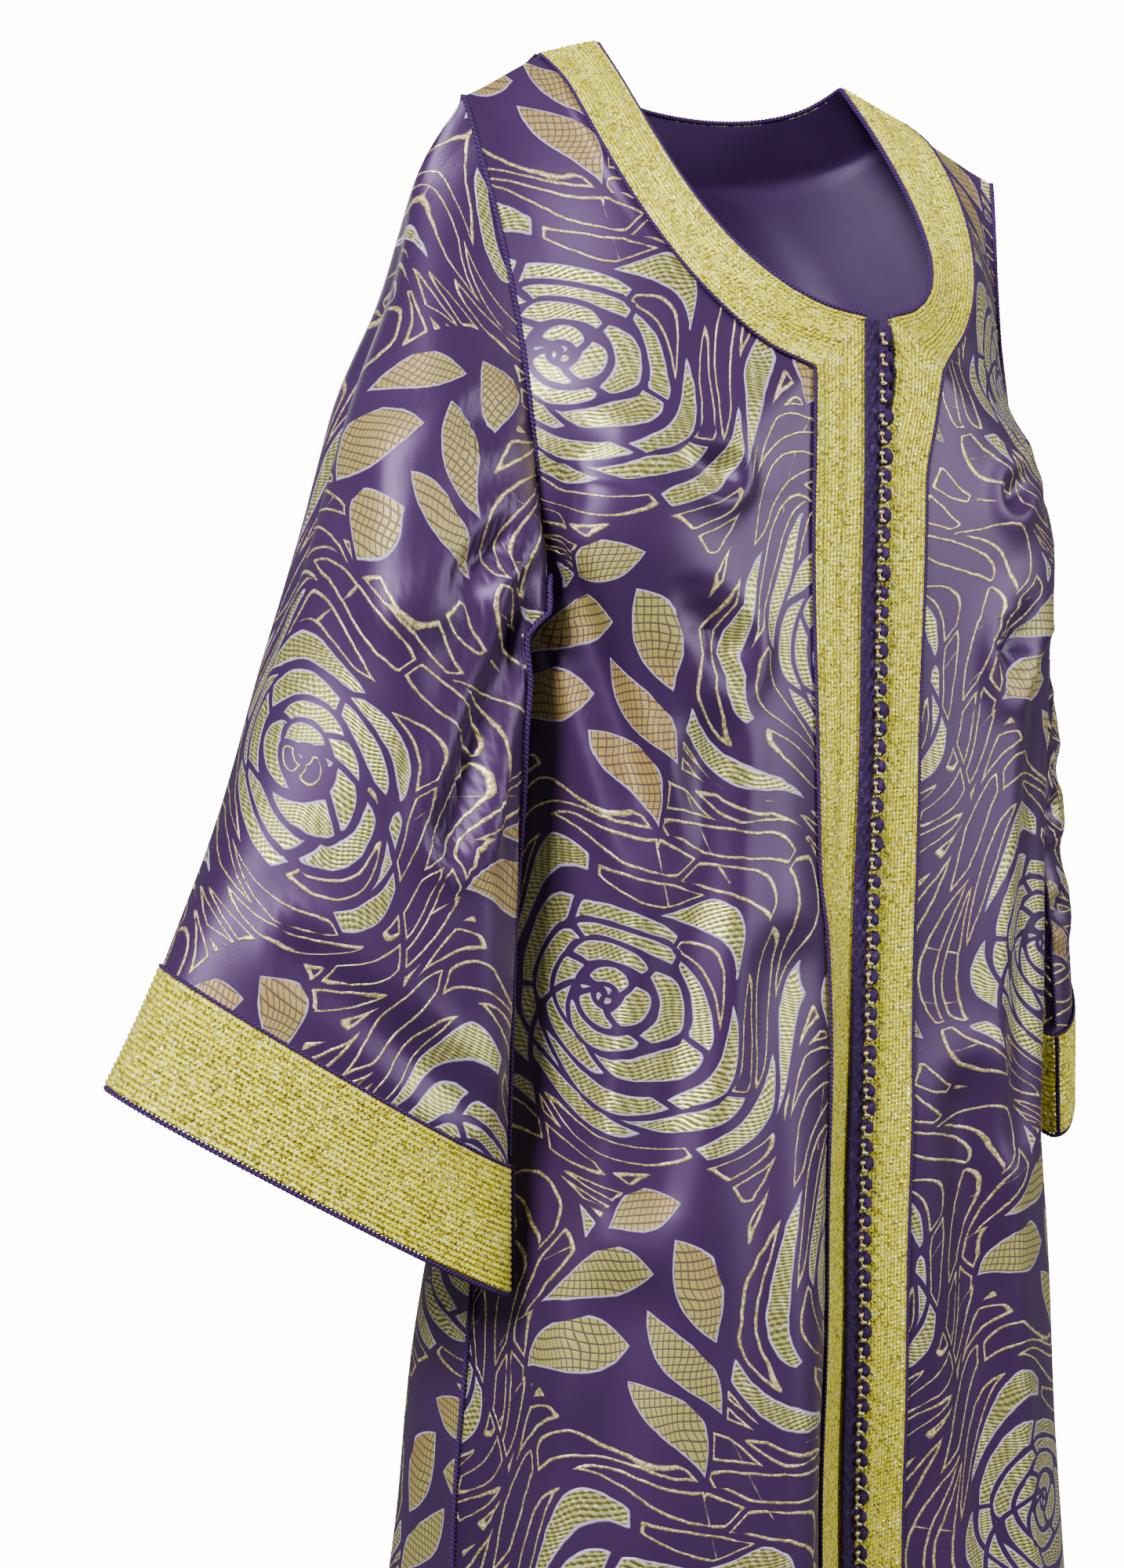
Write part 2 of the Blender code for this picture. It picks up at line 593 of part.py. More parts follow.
for side in (RIGHT, LEFT):
    under_band, ways = backs[side][0], back_ways[side][0]
    back_runs[side] = beside(under_band[:, -1], under_band[:, 0], ways[:, -1], thin_step, thin_rise)
    back_runs[side][0] += unit(back_runs[side][1] - back_runs[side][0]) * CORD_END
cord("band_cord_back", joined(back_runs[RIGHT], back_runs[LEFT][::-1][1:]), THIN_CORD_RADIUS, CORD)

# Cords over the seams of the armholes, sleeves and sides
OVER_SEAM = EDGE_CORD_RADIUS + LAID_ON
UNDER_COLUMN = ARMHOLE_ROWS
CUFF_ROW = SLEEVE_RINGS - CUFF_RINGS
ARMHOLE_CORD_ROWS = {FRONT: 11, BACK: 7}
SEAM_CORD_START = 1
for side in (RIGHT, LEFT):
    name = SIDE_NAME[side]
    rings, ways = sleeves[side], sleeve_ways[side]
    round_arm = list(range(-1 - ARMHOLE_CORD_ROWS[BACK], -1)) + list(range(ARMHOLE_CORD_ROWS[FRONT] + 1))
    rise = OVER_SEAM / armhole_turn[side][round_arm, None]
    cord(f"armhole_cord_{name}", rings[0, round_arm] + ways[0, round_arm] * rise, EDGE_CORD_RADIUS, CORD)
    sewn = slice(SEAM_CORD_START, CUFF_ROW + 1)
    seam = rings[sewn, UNDER_COLUMN] + ways[sewn, UNDER_COLUMN] * OVER_SEAM
    seam[-1] += unit(seam[-2] - seam[-1]) * 3.2 * EDGE_CORD_RADIUS
    cord(f"sleeve_seam_cord_{name}", seam, EDGE_CORD_RADIUS, CORD)
    on_cuff = rings[CUFF_ROW:, UNDER_COLUMN] + ways[CUFF_ROW:, UNDER_COLUMN] * (BAND_TOP + OVER_SEAM)
    cord(f"cuff_seam_cord_{name}", on_cuff, EDGE_CORD_RADIUS, CORD)
    top = beside(rings[CUFF_ROW, :-1], rings[CUFF_ROW + 1, :-1], ways[CUFF_ROW, :-1], thin_step, thin_step)
    cord(f"cuff_top_cord_{name}", top, THIN_CORD_RADIUS, CORD, cyclic=True)
    end = beside(rings[-1, :-1], rings[-2, :-1], ways[-1, :-1], edge_step, 0.0)
    cord(f"cuff_edge_cord_{name}", end, EDGE_CORD_RADIUS, CORD, cyclic=True)
    sewn = slice(ARMHOLE_ROWS + SEAM_CORD_START, PANEL_ROWS + 1)
    side_seam = fronts[side][sewn, -1] + front_ways[side][sewn, -1] * OVER_SEAM
    cord(f"side_seam_cord_{name}", side_seam, EDGE_CORD_RADIUS, CORD)

# Braid and buttons down the right front's edge, raised over the bands as the fronts turn in
edge_points = fronts[RIGHT][NECK_ROWS:, 0]
BRAID_LEFT_SIDE = 0.0030
BUTTON_CENTRE = 0.0068
BRAID_RISE = 0.0026
BUTTON_RISE = 0.0062


def on_edge(height, across, out):
    """Return a point in front of the opening, across from the middle and out from the right edge."""
    depth = np.interp(-height, -edge_points[:, 2], edge_points[:, 1])
    return np.array((across, depth - out, height))


braid_heights = np.concatenate(([edge_points[0, 2] - 0.001], edge_points[1:, 2]))
braid_grid = np.array([[on_edge(z, x, BRAID_RISE + 0.024 * body_size("valley_right", z))
                        for x in (BRAID_LEFT_SIDE, BRAID_LEFT_SIDE - BRAID_WIDTH)] for z in braid_heights])
forward = np.zeros_like(braid_grid)
forward[..., 1] = -1.0
wall("button_braid", [(braid_grid, forward)], 0.0, BRAID_THICKNESS, BRAID)

button_count = int((edge_points[0, 2] - HEM_HEIGHT) / BUTTON_PITCH) - 1
half_heights = edge_points[0, 2] - BUTTON_PITCH * 0.5 * np.arange(1, 2 * button_count + 2)
chain = [on_edge(z, BUTTON_CENTRE, BUTTON_RISE + 0.05 * body_size("valley_left", z)) for z in half_heights]
swell = [BUTTON_WAIST / BUTTON_RADIUS if k % 2 == 0 else 1.0 for k in range(len(chain))]
cord("button_row", chain, BUTTON_RADIUS, BRAID, radii=swell)
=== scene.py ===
"""A Moroccan kaftan of purple brocade with gold bands, worn and open at the neck, dressed piece by piece."""
import math

import bmesh
import bpy
import numpy as np
from mathutils import Euler, Matrix, Vector


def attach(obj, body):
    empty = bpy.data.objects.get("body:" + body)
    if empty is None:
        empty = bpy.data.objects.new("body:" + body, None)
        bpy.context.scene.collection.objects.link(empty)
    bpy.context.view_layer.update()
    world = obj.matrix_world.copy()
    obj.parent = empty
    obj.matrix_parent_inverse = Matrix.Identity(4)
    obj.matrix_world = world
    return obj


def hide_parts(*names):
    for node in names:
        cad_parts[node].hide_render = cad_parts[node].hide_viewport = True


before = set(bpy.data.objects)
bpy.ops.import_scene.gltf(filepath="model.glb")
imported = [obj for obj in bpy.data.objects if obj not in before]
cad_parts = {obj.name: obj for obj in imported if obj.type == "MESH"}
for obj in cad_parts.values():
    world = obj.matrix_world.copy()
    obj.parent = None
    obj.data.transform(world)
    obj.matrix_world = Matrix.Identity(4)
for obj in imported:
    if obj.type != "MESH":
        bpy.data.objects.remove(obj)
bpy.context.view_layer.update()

# Fronts. The two front panels are cut from one length of satin brocade with woven roses, and hang from
# the shoulders to the ankles. They are sewn to the back down the shoulders and the sides, and their
# edges are turned under the gold bands. The shape repeats the sizes of the solid panels, more finely.
RIGHT, LEFT = -1, 1
SIDE_NAME = {RIGHT: "right", LEFT: "left"}
FRONT, BACK = -1, 1
HEM_HEIGHT = -1.40
NECK_FRONT_HEIGHT = -0.160
UNDERARM_HEIGHT = -0.272
BAND_WIDTH = 0.038
SHOULDER_REACH = {RIGHT: 0.205, LEFT: 0.212}
CLOTH = 0.0015
NECK_ROWS = 9
ARMHOLE_ROWS = 12
PANEL_ROWS = 27
BAND_COLUMNS = 2
CLOTH_COLUMNS = 8
ROW_STEPS = 6
COLUMN_STEPS = 6

# Rows of cloth from the band out: the rows over which they come to leave the band sideways and to reach the
# seam straight back, how much they turn there, how far their handles reach, and how they dip at the mitre
LEAVE_FROM, ARRIVE_FROM, TURN_ROWS = 2, 5, 7
ARRIVE_SHARE = 0.85
HANDLE, MORE_HANDLE = 0.36, 0.14
NECK_DIP, DIP_ROWS = 0.9, 4

# Body sections from the underarm down: height, half-width on each side, depth of each side seam, of the
# centre front and of the centre back, and how far each front stands out before its edge
BODY = {
    "height":       (-0.272, -0.35, -0.45, -0.55, -0.65, -0.75, -0.90, -1.10, -1.40),
    "right":        (0.187, 0.181, 0.179, 0.185, 0.198, 0.212, 0.224, 0.250, 0.300),
    "left":         (0.190, 0.194, 0.199, 0.207, 0.218, 0.231, 0.244, 0.266, 0.305),
    "side_right":   (-0.048, -0.028, -0.014, -0.008, -0.006, -0.006, -0.005, 0.000, 0.000),
    "side_left":    (-0.048, -0.040, -0.032, -0.023, -0.015, -0.010, -0.005, 0.000, 0.000),
    "front":        (-0.109, -0.108, -0.105, -0.102, -0.099, -0.097, -0.094, -0.098, -0.110),
    "back":         (0.134, 0.126, 0.112, 0.112, 0.122, 0.130, 0.138, 0.152, 0.180),
    "valley_right": (0.000, 0.005, 0.016, 0.028, 0.039, 0.048, 0.059, 0.064, 0.068),
    "valley_left":  (0.000, 0.000, 0.002, 0.005, 0.008, 0.011, 0.017, 0.028, 0.040),
}
VALLEY_WIDTH = 0.078
BODY_AXIS_DEPTH = 0.02

# Front opening: how wide the left edge gapes at each distance below the shoulders
GAPE = {
    "below": (0.160, 0.178, 0.195, 0.215, 0.235, 0.260),
    "width": (0.010, 0.013, 0.014, 0.008, 0.002, 0.000),
}
RIGHT_EDGE = -0.005
LEFT_EDGE = 0.0045

# Neck curves from the shoulder to the middle: half-width, depth and height at the shoulder, depth and
# height in the middle, and the roundness of the depth and of the height
NECK = {
    (FRONT, "inner"): (0.0980, 0.0175, 0.002, -0.1080, -0.160, 0.50, 0.53),
    (FRONT, "outer"): (0.1436, 0.0098, -0.0142, -0.1080, -0.1965, 0.591, 0.83),
    (BACK, "inner"): (0.0980, 0.0175, 0.002, 0.062, -0.022, 0.70, 0.90),
    (BACK, "outer"): (0.1436, 0.0098, -0.0142, 0.086, -0.055, 0.70, 0.90),
}

# Armhole from the shoulder tip to the underarm, on the front and on the back
ARMHOLE = {
    FRONT: ((0.205, -0.003, -0.046), (0.199, -0.012, -0.082), (0.193, -0.021, -0.122),
            (0.188, -0.032, -0.177), (0.187, -0.044, -0.240), (0.187, -0.048, -0.272)),
    BACK: ((0.205, -0.003, -0.046), (0.200, 0.014, -0.080), (0.190, 0.034, -0.120),
           (0.180, 0.050, -0.175), (0.180, 0.030, -0.245), (0.187, -0.048, -0.272)),
}

# Soft flutes of the skirt: where round the body in degrees from the front, how wide, the height they
# start from, and how far they stand out (or in) at the hem
FLUTES = (
    {"around": -64, "spread": 22, "start": -0.80, "out": 0.014},
    {"around": -112, "spread": 22, "start": -0.60, "out": 0.018},
    {"around": -146, "spread": 20, "start": -0.42, "out": -0.016},
    {"around": 180, "spread": 22, "start": -0.36, "out": 0.018},
    {"around": 148, "spread": 20, "start": -0.48, "out": -0.014},
    {"around": 110, "spread": 22, "start": -0.62, "out": 0.018},
    {"around": 60, "spread": 22, "start": -0.75, "out": 0.012},
)


def eased(value):
    """Return value held between 0 and 1, eased at both ends."""
    value = min(max(value, 0.0), 1.0)
    return value * value * (3.0 - 2.0 * value)


def unit(vectors):
    """Return the vectors at length one."""
    vectors = np.asarray(vectors, float)
    return vectors / np.linalg.norm(vectors, axis=-1, keepdims=True)


def smooth_through(stations, values, at):
    """Return the value at a station of the smooth curve through the values."""
    stations = np.asarray(stations, float)
    values = np.asarray(values, float)
    if stations[0] > stations[-1]:
        stations, values = stations[::-1], values[::-1]
    slopes = np.gradient(values, stations, axis=0)
    at = min(max(at, stations[0]), stations[-1])
    k = min(max(int(np.searchsorted(stations, at)) - 1, 0), len(stations) - 2)
    span = stations[k + 1] - stations[k]
    u = (at - stations[k]) / span
    return ((2 * u**3 - 3 * u**2 + 1) * values[k] + (u**3 - 2 * u**2 + u) * span * slopes[k]
            + (3 * u**2 - 2 * u**3) * values[k + 1] + (u**3 - u**2) * span * slopes[k + 1])


def run_along(points):
    """Return how far along a line each of its points lies."""
    return np.concatenate(([0.0], np.cumsum(np.linalg.norm(np.diff(points, axis=0), axis=1))))


def points_at(stops, run, points):
    """Return the points of a line at some distances along it."""
    return np.stack([np.interp(stops, run, points[:, axis]) for axis in range(3)], axis=1)


def body_size(column, height):
    """Return one size of the body sections at a height."""
    return float(smooth_through(BODY["height"], BODY[column], height))


def evenly(curve, count):
    """Return count + 1 points of a curve of 0 to 1, the same distance apart."""
    dense = np.array([curve(u) for u in np.linspace(0.0, 1.0, 241)])
    run = run_along(dense)
    return points_at(np.linspace(0.0, run[-1], count + 1), run, dense)


def neck_curve(face, edge, side, end_x=0.0):
    """Return the neck line of one side as a curve from the shoulder to end_x near the middle."""
    half, depth_0, height_0, depth_1, height_1, depth_round, height_round = NECK[face, edge]
    last = math.asin(abs(end_x) / half)

    def point(u):
        angle = math.pi / 2 + (last - math.pi / 2) * u
        forward = math.cos(angle)
        return (side * half * math.sin(angle),
                depth_0 + (depth_1 - depth_0) * forward**depth_round,
                height_0 + (height_1 - height_0) * forward**height_round)

    return point


def armhole_curve(face, side):
    """Return the armhole's edge of one side as a curve from the shoulder tip to the underarm."""
    points = np.array(ARMHOLE[face])
    reach = SHOULDER_REACH[side] - SHOULDER_REACH[RIGHT]
    points[:, 0] += reach * np.linspace(1.0, 0.45, len(points))
    points[:, 0] *= side
    stations = np.linspace(0.0, 1.0, len(points))
    return lambda u: smooth_through(stations, points, u)


def front_edge(side, height):
    """Return how far from the middle a front's opening edge lies at a height."""
    if side == RIGHT:
        return RIGHT_EDGE
    return LEFT_EDGE + float(np.interp(-height, GAPE["below"], GAPE["width"]))


def heights_down(start, first_stop):
    """Return the heights of the rows from the neck's last one to the hem."""
    upper = np.interp(range(NECK_ROWS, ARMHOLE_ROWS), (NECK_ROWS, ARMHOLE_ROWS), (start, first_stop))
    lower = np.linspace(first_stop, HEM_HEIGHT, PANEL_ROWS - ARMHOLE_ROWS + 1)
    return np.concatenate((upper, lower))


def bump(distance, reach):
    """Return 1 in the middle of a fold, falling softly to 0 at its reach."""
    share = min(abs(distance) / reach, 1.0)
    return math.cos(math.pi / 2 * share)**2


def degrees_apart(angle, other):
    """Return how far an angle lies past another, the short way round."""
    return (angle - other + 180.0) % 360.0 - 180.0


def fluted(point):
    """Return a point of the skirt moved out or in by the flutes that it lies on."""
    plan = np.array((point[0], point[1] - BODY_AXIS_DEPTH, 0.0))
    around = math.degrees(math.atan2(plan[0], -plan[1]))
    out = 0.0
    for flute in FLUTES:
        drop = (flute["start"] - point[2]) / (flute["start"] - HEM_HEIGHT)
        if drop > 0:
            out += flute["out"] * drop * bump(degrees_apart(around, flute["around"]), flute["spread"])
    return point + unit(plan) * out


def outer_edge(face, side):
    """Return a panel's outer edge: the armhole, then the side seam down to the hem."""
    armhole = evenly(armhole_curve(face, side), ARMHOLE_ROWS)
    name = SIDE_NAME[side]
    seam = [(side * body_size(name, z), body_size(f"side_{name}", z), z)
            for z in heights_down(NECK_FRONT_HEIGHT, UNDERARM_HEIGHT)[ARMHOLE_ROWS - NECK_ROWS:]]
    seam[0] = armhole[-1]
    return np.concatenate((armhole[:-1], seam))


def cloth_row(start, stop, row, face, side):
    """Return one row of cloth from beside the band out to the armhole or the side seam."""
    chord = stop - start
    reach = np.linalg.norm(chord)
    straight = chord / reach
    leave = eased((row - LEAVE_FROM) / TURN_ROWS)
    arrive = ARRIVE_SHARE * eased((row - ARRIVE_FROM) / TURN_ROWS)
    outward = np.array((side, 0.0, 0.0))
    backward = np.array((0.0, -face, 0.0))
    dip = NECK_DIP * bump(row - NECK_ROWS, DIP_ROWS) * (face == FRONT)
    start_way = unit((1 - leave) * straight + leave * outward + dip * np.array((0.0, 0.0, -1.0)))
    stop_way = unit((1 - arrive) * straight + arrive * backward)
    handle = HANDLE + MORE_HANDLE * arrive
    near = start + start_way * reach * handle
    far = stop - stop_way * reach * handle
    u = np.linspace(0.0, 1.0, CLOTH_COLUMNS + 1)[:, None]
    return (1 - u)**3 * start + 3 * (1 - u)**2 * u * near + 3 * (1 - u) * u**2 * far + u**3 * stop


def front_points(side):
    """Return the grid of one front, a row for each step down and a column for each step out."""
    edge_0 = front_edge(side, NECK_FRONT_HEIGHT)
    inner_neck = evenly(neck_curve(FRONT, "inner", side, edge_0), NECK_ROWS)
    outer_neck = evenly(neck_curve(FRONT, "outer", side, edge_0 + side * BAND_WIDTH), NECK_ROWS)
    valley = f"valley_{SIDE_NAME[side]}"
    inner_heights = heights_down(inner_neck[-1][2], UNDERARM_HEIGHT)
    band_heights = heights_down(outer_neck[-1][2], UNDERARM_HEIGHT)
    stops = outer_edge(FRONT, side)
    rows = []
    for row in range(PANEL_ROWS + 1):
        if row < NECK_ROWS:
            inner, band = inner_neck[row], outer_neck[row]
        else:
            inner, band = (np.array((front_edge(side, z), body_size("front", z) - body_size(valley, z), z))
                           for z in (inner_heights[row - NECK_ROWS], band_heights[row - NECK_ROWS]))
            band[0] += side * BAND_WIDTH
        under_band = [inner + (band - inner) * k / BAND_COLUMNS for k in range(BAND_COLUMNS)]
        points = np.vstack((under_band, cloth_row(band, stops[row], row, FRONT, side)))
        for point in points:
            from_edge = abs(point[0] - front_edge(side, point[2]))
            if point[2] <= UNDERARM_HEIGHT and from_edge < VALLEY_WIDTH:
                point[1] += body_size(valley, point[2]) * bump(from_edge, VALLEY_WIDTH)
        rows.append(points)
    return np.array([[fluted(point) for point in row] for row in rows])


def grid_normals(points, outward_from):
    """Return the cloth's outward direction at each point of a grid."""
    normals = unit(np.cross(np.gradient(points, axis=0), np.gradient(points, axis=1)))
    middle = tuple(size * 2 // 3 for size in points.shape[:2])
    if np.dot(normals[middle], points[middle] - outward_from) < 0:
        normals = -normals
    return normals


def share_normals(grids, least=-1.0):
    """Give points that pieces share at a seam one direction.

    Where the pieces meet in a crease so sharp that a direction's share falls under the least one, each
    keeps its own.
    """
    meets = {}
    for number, (points, normals) in enumerate(grids):
        for k, point in enumerate(points.reshape(-1, 3)):
            meets.setdefault(tuple(np.round(point, 5)), []).append((number, k))
    flats = [normals.reshape(-1, 3) for points, normals in grids]
    for places in meets.values():
        together = unit(sum(flats[number][k] for number, k in places))
        if min(float(flats[number][k] @ together) for number, k in places) >= least:
            for number, k in places:
                flats[number][k] = together


def along_curve(points, stops, corner=None):
    """Return the points at the stops of a smooth curve through points, with a corner at one of them."""
    before = np.gradient(points, axis=0)
    after = before.copy()
    if corner is not None:
        before[corner] = points[corner] - points[corner - 1]
        after[corner] = points[corner + 1] - points[corner]
    k = np.clip(np.floor(stops).astype(int), 0, len(points) - 2)
    u = (stops - k).reshape(-1, *[1] * (points.ndim - 1))
    return ((2 * u**3 - 3 * u**2 + 1) * points[k] + (u**3 - 2 * u**2 + u) * after[k]
            + (3 * u**2 - 2 * u**3) * points[k + 1] + (u**3 - u**2) * before[k + 1])


def across_curve(points, stops):
    """Return the columns at the stops of smooth curves along a grid's rows."""
    return along_curve(points.swapaxes(0, 1), stops).swapaxes(0, 1)


def fine_stops(count, steps):
    """Return the places of a finer grid's rows or columns among a coarse one's."""
    return np.arange((count - 1) * steps + 1) / steps


def finer_rows(points):
    """Return a panel's grid with more rows, cornered at the mitre under the band and at the underarm."""
    stops = fine_stops(len(points), ROW_STEPS)
    parts = [along_curve(points[:, :BAND_COLUMNS + 1], stops, NECK_ROWS),
             along_curve(points[:, BAND_COLUMNS + 1:-1], stops),
             along_curve(points[:, -1:], stops, ARMHOLE_ROWS)]
    return np.concatenate(parts, axis=1)


def finer_columns(points, before=None):
    """Return a grid with more columns, in line with the column before the first where one is given."""
    stops = fine_stops(points.shape[1], COLUMN_STEPS)
    if before is not None:
        points = np.concatenate((before[:, None], points), axis=1)
        stops = stops + 1
    return across_curve(points, stops)


LAYING_TURNS, LAYING_PUSH = 700, 1.6


def laid_flat(points, start, held):
    """Return the flat places of a grid of cloth, as it was cut, from first guesses, with one line held."""
    flat = start.copy()
    steps = ((0, 1), (1, 0), (1, 1), (1, -1))
    pairs = []
    for down, over in steps:
        rows, columns = points.shape[0] - down, points.shape[1] - abs(over)
        first = (slice(0, rows), slice(0, columns) if over >= 0 else slice(1, columns + 1))
        second = (slice(down, rows + down), slice(over, columns + over) if over >= 0 else slice(0, columns))
        pairs.append((first, second, np.linalg.norm(points[first] - points[second], axis=-1)))
    for _ in range(LAYING_TURNS):
        moves = np.zeros_like(flat)
        counts = np.zeros(flat.shape[:2])
        for first, second, length in pairs:
            apart = flat[second] - flat[first]
            now = np.linalg.norm(apart, axis=-1)
            pull = apart * ((now - length) / np.maximum(now, 1e-9) / 2)[..., None]
            moves[first] += pull
            moves[second] -= pull
            counts[first] += 1
            counts[second] += 1
        flat += moves / counts[..., None] * LAYING_PUSH
        flat[held] = start[held]
    return flat


def lengths_over(points):
    """Return how far along its row each point of a grid lies."""
    over = np.linalg.norm(np.diff(points, axis=1), axis=-1)
    return np.concatenate((np.zeros((len(points), 1)), np.cumsum(over, axis=1)), axis=1)


def first_flat(points, side):
    """Return a first guess at a grid's flat places: lengths out from the middle, and heights."""
    return np.stack(((lengths_over(points) + np.abs(points[:, :1, 0])) * side, points[..., 2]), axis=-1)


def on_garment(name, bm, materials, sharp=None):
    """Make a smooth piece from a bmesh, sharp where its faces turn by more than the degrees given."""
    bmesh.ops.recalc_face_normals(bm, faces=bm.faces[:])
    mesh = bpy.data.meshes.new(name)
    bm.to_mesh(mesh)
    bm.free()
    mesh.shade_smooth()
    if sharp is not None:
        mesh.set_sharp_from_angle(angle=math.radians(sharp))
    for material in materials:
        mesh.materials.append(material)
    piece = bpy.data.objects.new(name, mesh)
    bpy.context.scene.collection.objects.link(piece)
    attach(piece, "root")
    return piece


def grid_of_faces(bm, points, flat, place):
    """Add a grid of faces with its vertices at the points, and return each vertex's row and column."""
    rows, columns = flat.shape[0] - 1, flat.shape[1] - 1
    where = {}
    for vert in bmesh.ops.create_grid(bm, x_segments=rows, y_segments=columns, size=1.0)["verts"]:
        row, column = round((vert.co.x + 1) / 2 * rows), round((vert.co.y + 1) / 2 * columns)
        vert.co = points[row, column % points.shape[1]]
        where[vert] = row, column
    for face in {face for vert in where for face in vert.link_faces}:
        for loop in face.loops:
            loop[place].uv = flat[where[loop.vert]]
    return where


def cloth_wall(name, grids):
    """Make a panel's wall of lined brocade from grids of points, directions and flat places."""
    bm = bmesh.new()
    shift = bm.verts.layers.float_vector.new("shift")
    place = bm.loops.layers.uv.new("cut")
    for points, ways, flat in grids:
        for vert, spot in grid_of_faces(bm, points, flat, place).items():
            vert[shift] = ways[spot] * -CLOTH
    bmesh.ops.remove_doubles(bm, verts=bm.verts[:], dist=1e-6)
    for item in bmesh.ops.extrude_face_region(bm, geom=bm.faces[:], use_keep_orig=True)["geom"]:
        if isinstance(item, bmesh.types.BMVert):
            item.co += item[shift]
        elif isinstance(item, bmesh.types.BMFace):
            item.material_index = 1
    return on_garment(name, bm, [brocade, lining], 60)


class Number:
    """A number that varies over a surface. Working with it adds Math nodes to its finish."""

    def __init__(self, finish, socket):
        self.finish, self.socket = finish, socket

    def math(self, operation, *others, flip=False):
        values = [self, *others]
        if flip:
            values.reverse()
        return self.finish.number("ShaderNodeMath", {"operation": operation}, dict(enumerate(values)))

    def __add__(self, other):
        return self.math("ADD", other)

    def __radd__(self, other):
        return self.math("ADD", other)

    def __sub__(self, other):
        return self.math("SUBTRACT", other)

    def __rsub__(self, other):
        return self.math("SUBTRACT", other, flip=True)

    def __mul__(self, other):
        return self.math("MULTIPLY", other)

    def __rmul__(self, other):
        return self.math("MULTIPLY", other)

    def __truediv__(self, other):
        return self.math("DIVIDE", other)

    def __rtruediv__(self, other):
        return self.math("DIVIDE", other, flip=True)

    def __lt__(self, other):
        return self.math("LESS_THAN", other)

    def __gt__(self, other):
        return self.math("GREATER_THAN", other)

    def __abs__(self):
        return self.math("ABSOLUTE")

    def wave(self, pitch):
        """Return a sine wave over this number, with a crest every pitch."""
        return (self * (math.tau / pitch)).math("SINE")


class Finish:
    """One finish's material, whose nodes are added in the order in which they are worked out."""

    def __init__(self, name, **constants):
        self.material = bpy.data.materials.new(name)
        self.material.use_nodes = True
        self.tree = self.material.node_tree
        self.shader = self.tree.nodes["Principled BSDF"]
        for socket, value in constants.items():
            self.shader.inputs[socket.replace("_", " ")].default_value = value

    def add(self, kind, settings, sockets):
        """Add a node: first its settings, then its sockets' values or links."""
        node = self.tree.nodes.new(kind)
        for name, value in settings.items():
            setattr(node, name, value)
        for name, value in sockets.items():
            if isinstance(value, Number):
                value = value.socket
            if isinstance(value, bpy.types.NodeSocket):
                self.tree.links.new(value, node.inputs[name])
            else:
                node.inputs[name].default_value = value
        return node

    def number(self, kind, settings, sockets, output=0):
        return Number(self, self.add(kind, settings, sockets).outputs[output])

    def cut(self):
        """Return where on the flat cloth a point lies, and its parts across and along, in metres."""
        uv = self.add("ShaderNodeUVMap", {"uv_map": "cut"}, {}).outputs[0]
        return uv, *self.parts(uv)

    def place(self):
        """Return the place of a point in the object's own frame."""
        return self.add("ShaderNodeTexCoord", {}, {}).outputs["Object"]

    def parts(self, vector, kind="XYZ"):
        """Return the first two parts of a vector or a colour."""
        split = self.add(f"ShaderNodeSeparate{kind}", {}, {0: vector})
        return Number(self, split.outputs[0]), Number(self, split.outputs[1])

    def vector(self, operation, *values):
        return self.add("ShaderNodeVectorMath", {"operation": operation}, dict(enumerate(values))).outputs[0]

    def threads(self, vector, scale, dimensions="2D"):
        """Return two chances for each of many small threads, and how far from its middle a point lies."""
        cells = self.add("ShaderNodeTexVoronoi", {"voronoi_dimensions": dimensions, "feature": "F1"},
                         {"Vector": vector, "Scale": scale, "Randomness": 1.0})
        return *self.parts(cells.outputs["Color"], "Color"), Number(self, cells.outputs["Distance"])

    def above(self, value, edge, soft=0.0003):
        """Return 0 under the edge and 1 over it."""
        return self.number("ShaderNodeMapRange", {}, {"Value": value, "From Min": edge - soft,
                                                      "From Max": edge + soft})

    def mix(self, share, first, second, blend="MIX"):
        """Return one colour laid over another."""
        return self.add("ShaderNodeMix", {"data_type": "RGBA", "blend_type": blend},
                        {0: share, 6: first, 7: second}).outputs[2]

    def grain(self, vector, scale, detail=1.0, dimensions="2D"):
        """Return soft noise around a half."""
        return self.number("ShaderNodeTexNoise", {"noise_dimensions": dimensions},
                           {"Vector": vector, "Scale": scale, "Detail": detail, "Roughness": 0.5})

    def shade(self, **sockets):
        """Link what varies to the shader."""
        for name, value in sockets.items():
            if isinstance(value, Number):
                value = value.socket
            self.tree.links.new(value, self.shader.inputs[name.replace("_", " ")])

    def raised(self, height, distance):
        """Link a height to the shader's normal, as relief over a distance in metres."""
        bump = self.add("ShaderNodeBump", {}, {"Height": height, "Distance": distance, "Strength": 1.0})
        self.tree.links.new(bump.outputs[0], self.shader.inputs["Normal"])


# The brocade's drawing: a rose on every knot of a net of diamonds, a spray of six leaflets where four
# diamonds meet, and closed outlines that flow round the roses, all set a little out of true by slow waves
REPEAT = 0.350
ROSE_TURN = 1.15
ROSE_SQUASH = 0.86
PETALS_ROUND, MORE_OUTSIDE = 0.42, 7.8
RING_ROOM, RING_GROWS = 0.0160, 0.012
ROSE_REACH = 5.7
GAP = 0.0022
PETAL_HALF_LENGTH, PETAL_HALF_WIDTH = 0.80, 0.62
OUTLINE_HALF_LENGTH, OUTLINE_HALF_WIDTH = 0.70, 0.60
ROSE_EYE, ROSE_DROP = 0.02, 0.003
KINDS_APART, CELLS_FROM, CELL_JITTER = 29.0, (7.3, 0.35), 0.60
RING_JITTER, STRAY_OVER, LEFT_OUT_UNDER, FAR_RING = 0.9, 0.93, 0.10, 9.0
PETAL_BOW = 0.80
POINTED, CELL_CORNER, SEAM_ROOM = 0.9, 0.0014, 0.7

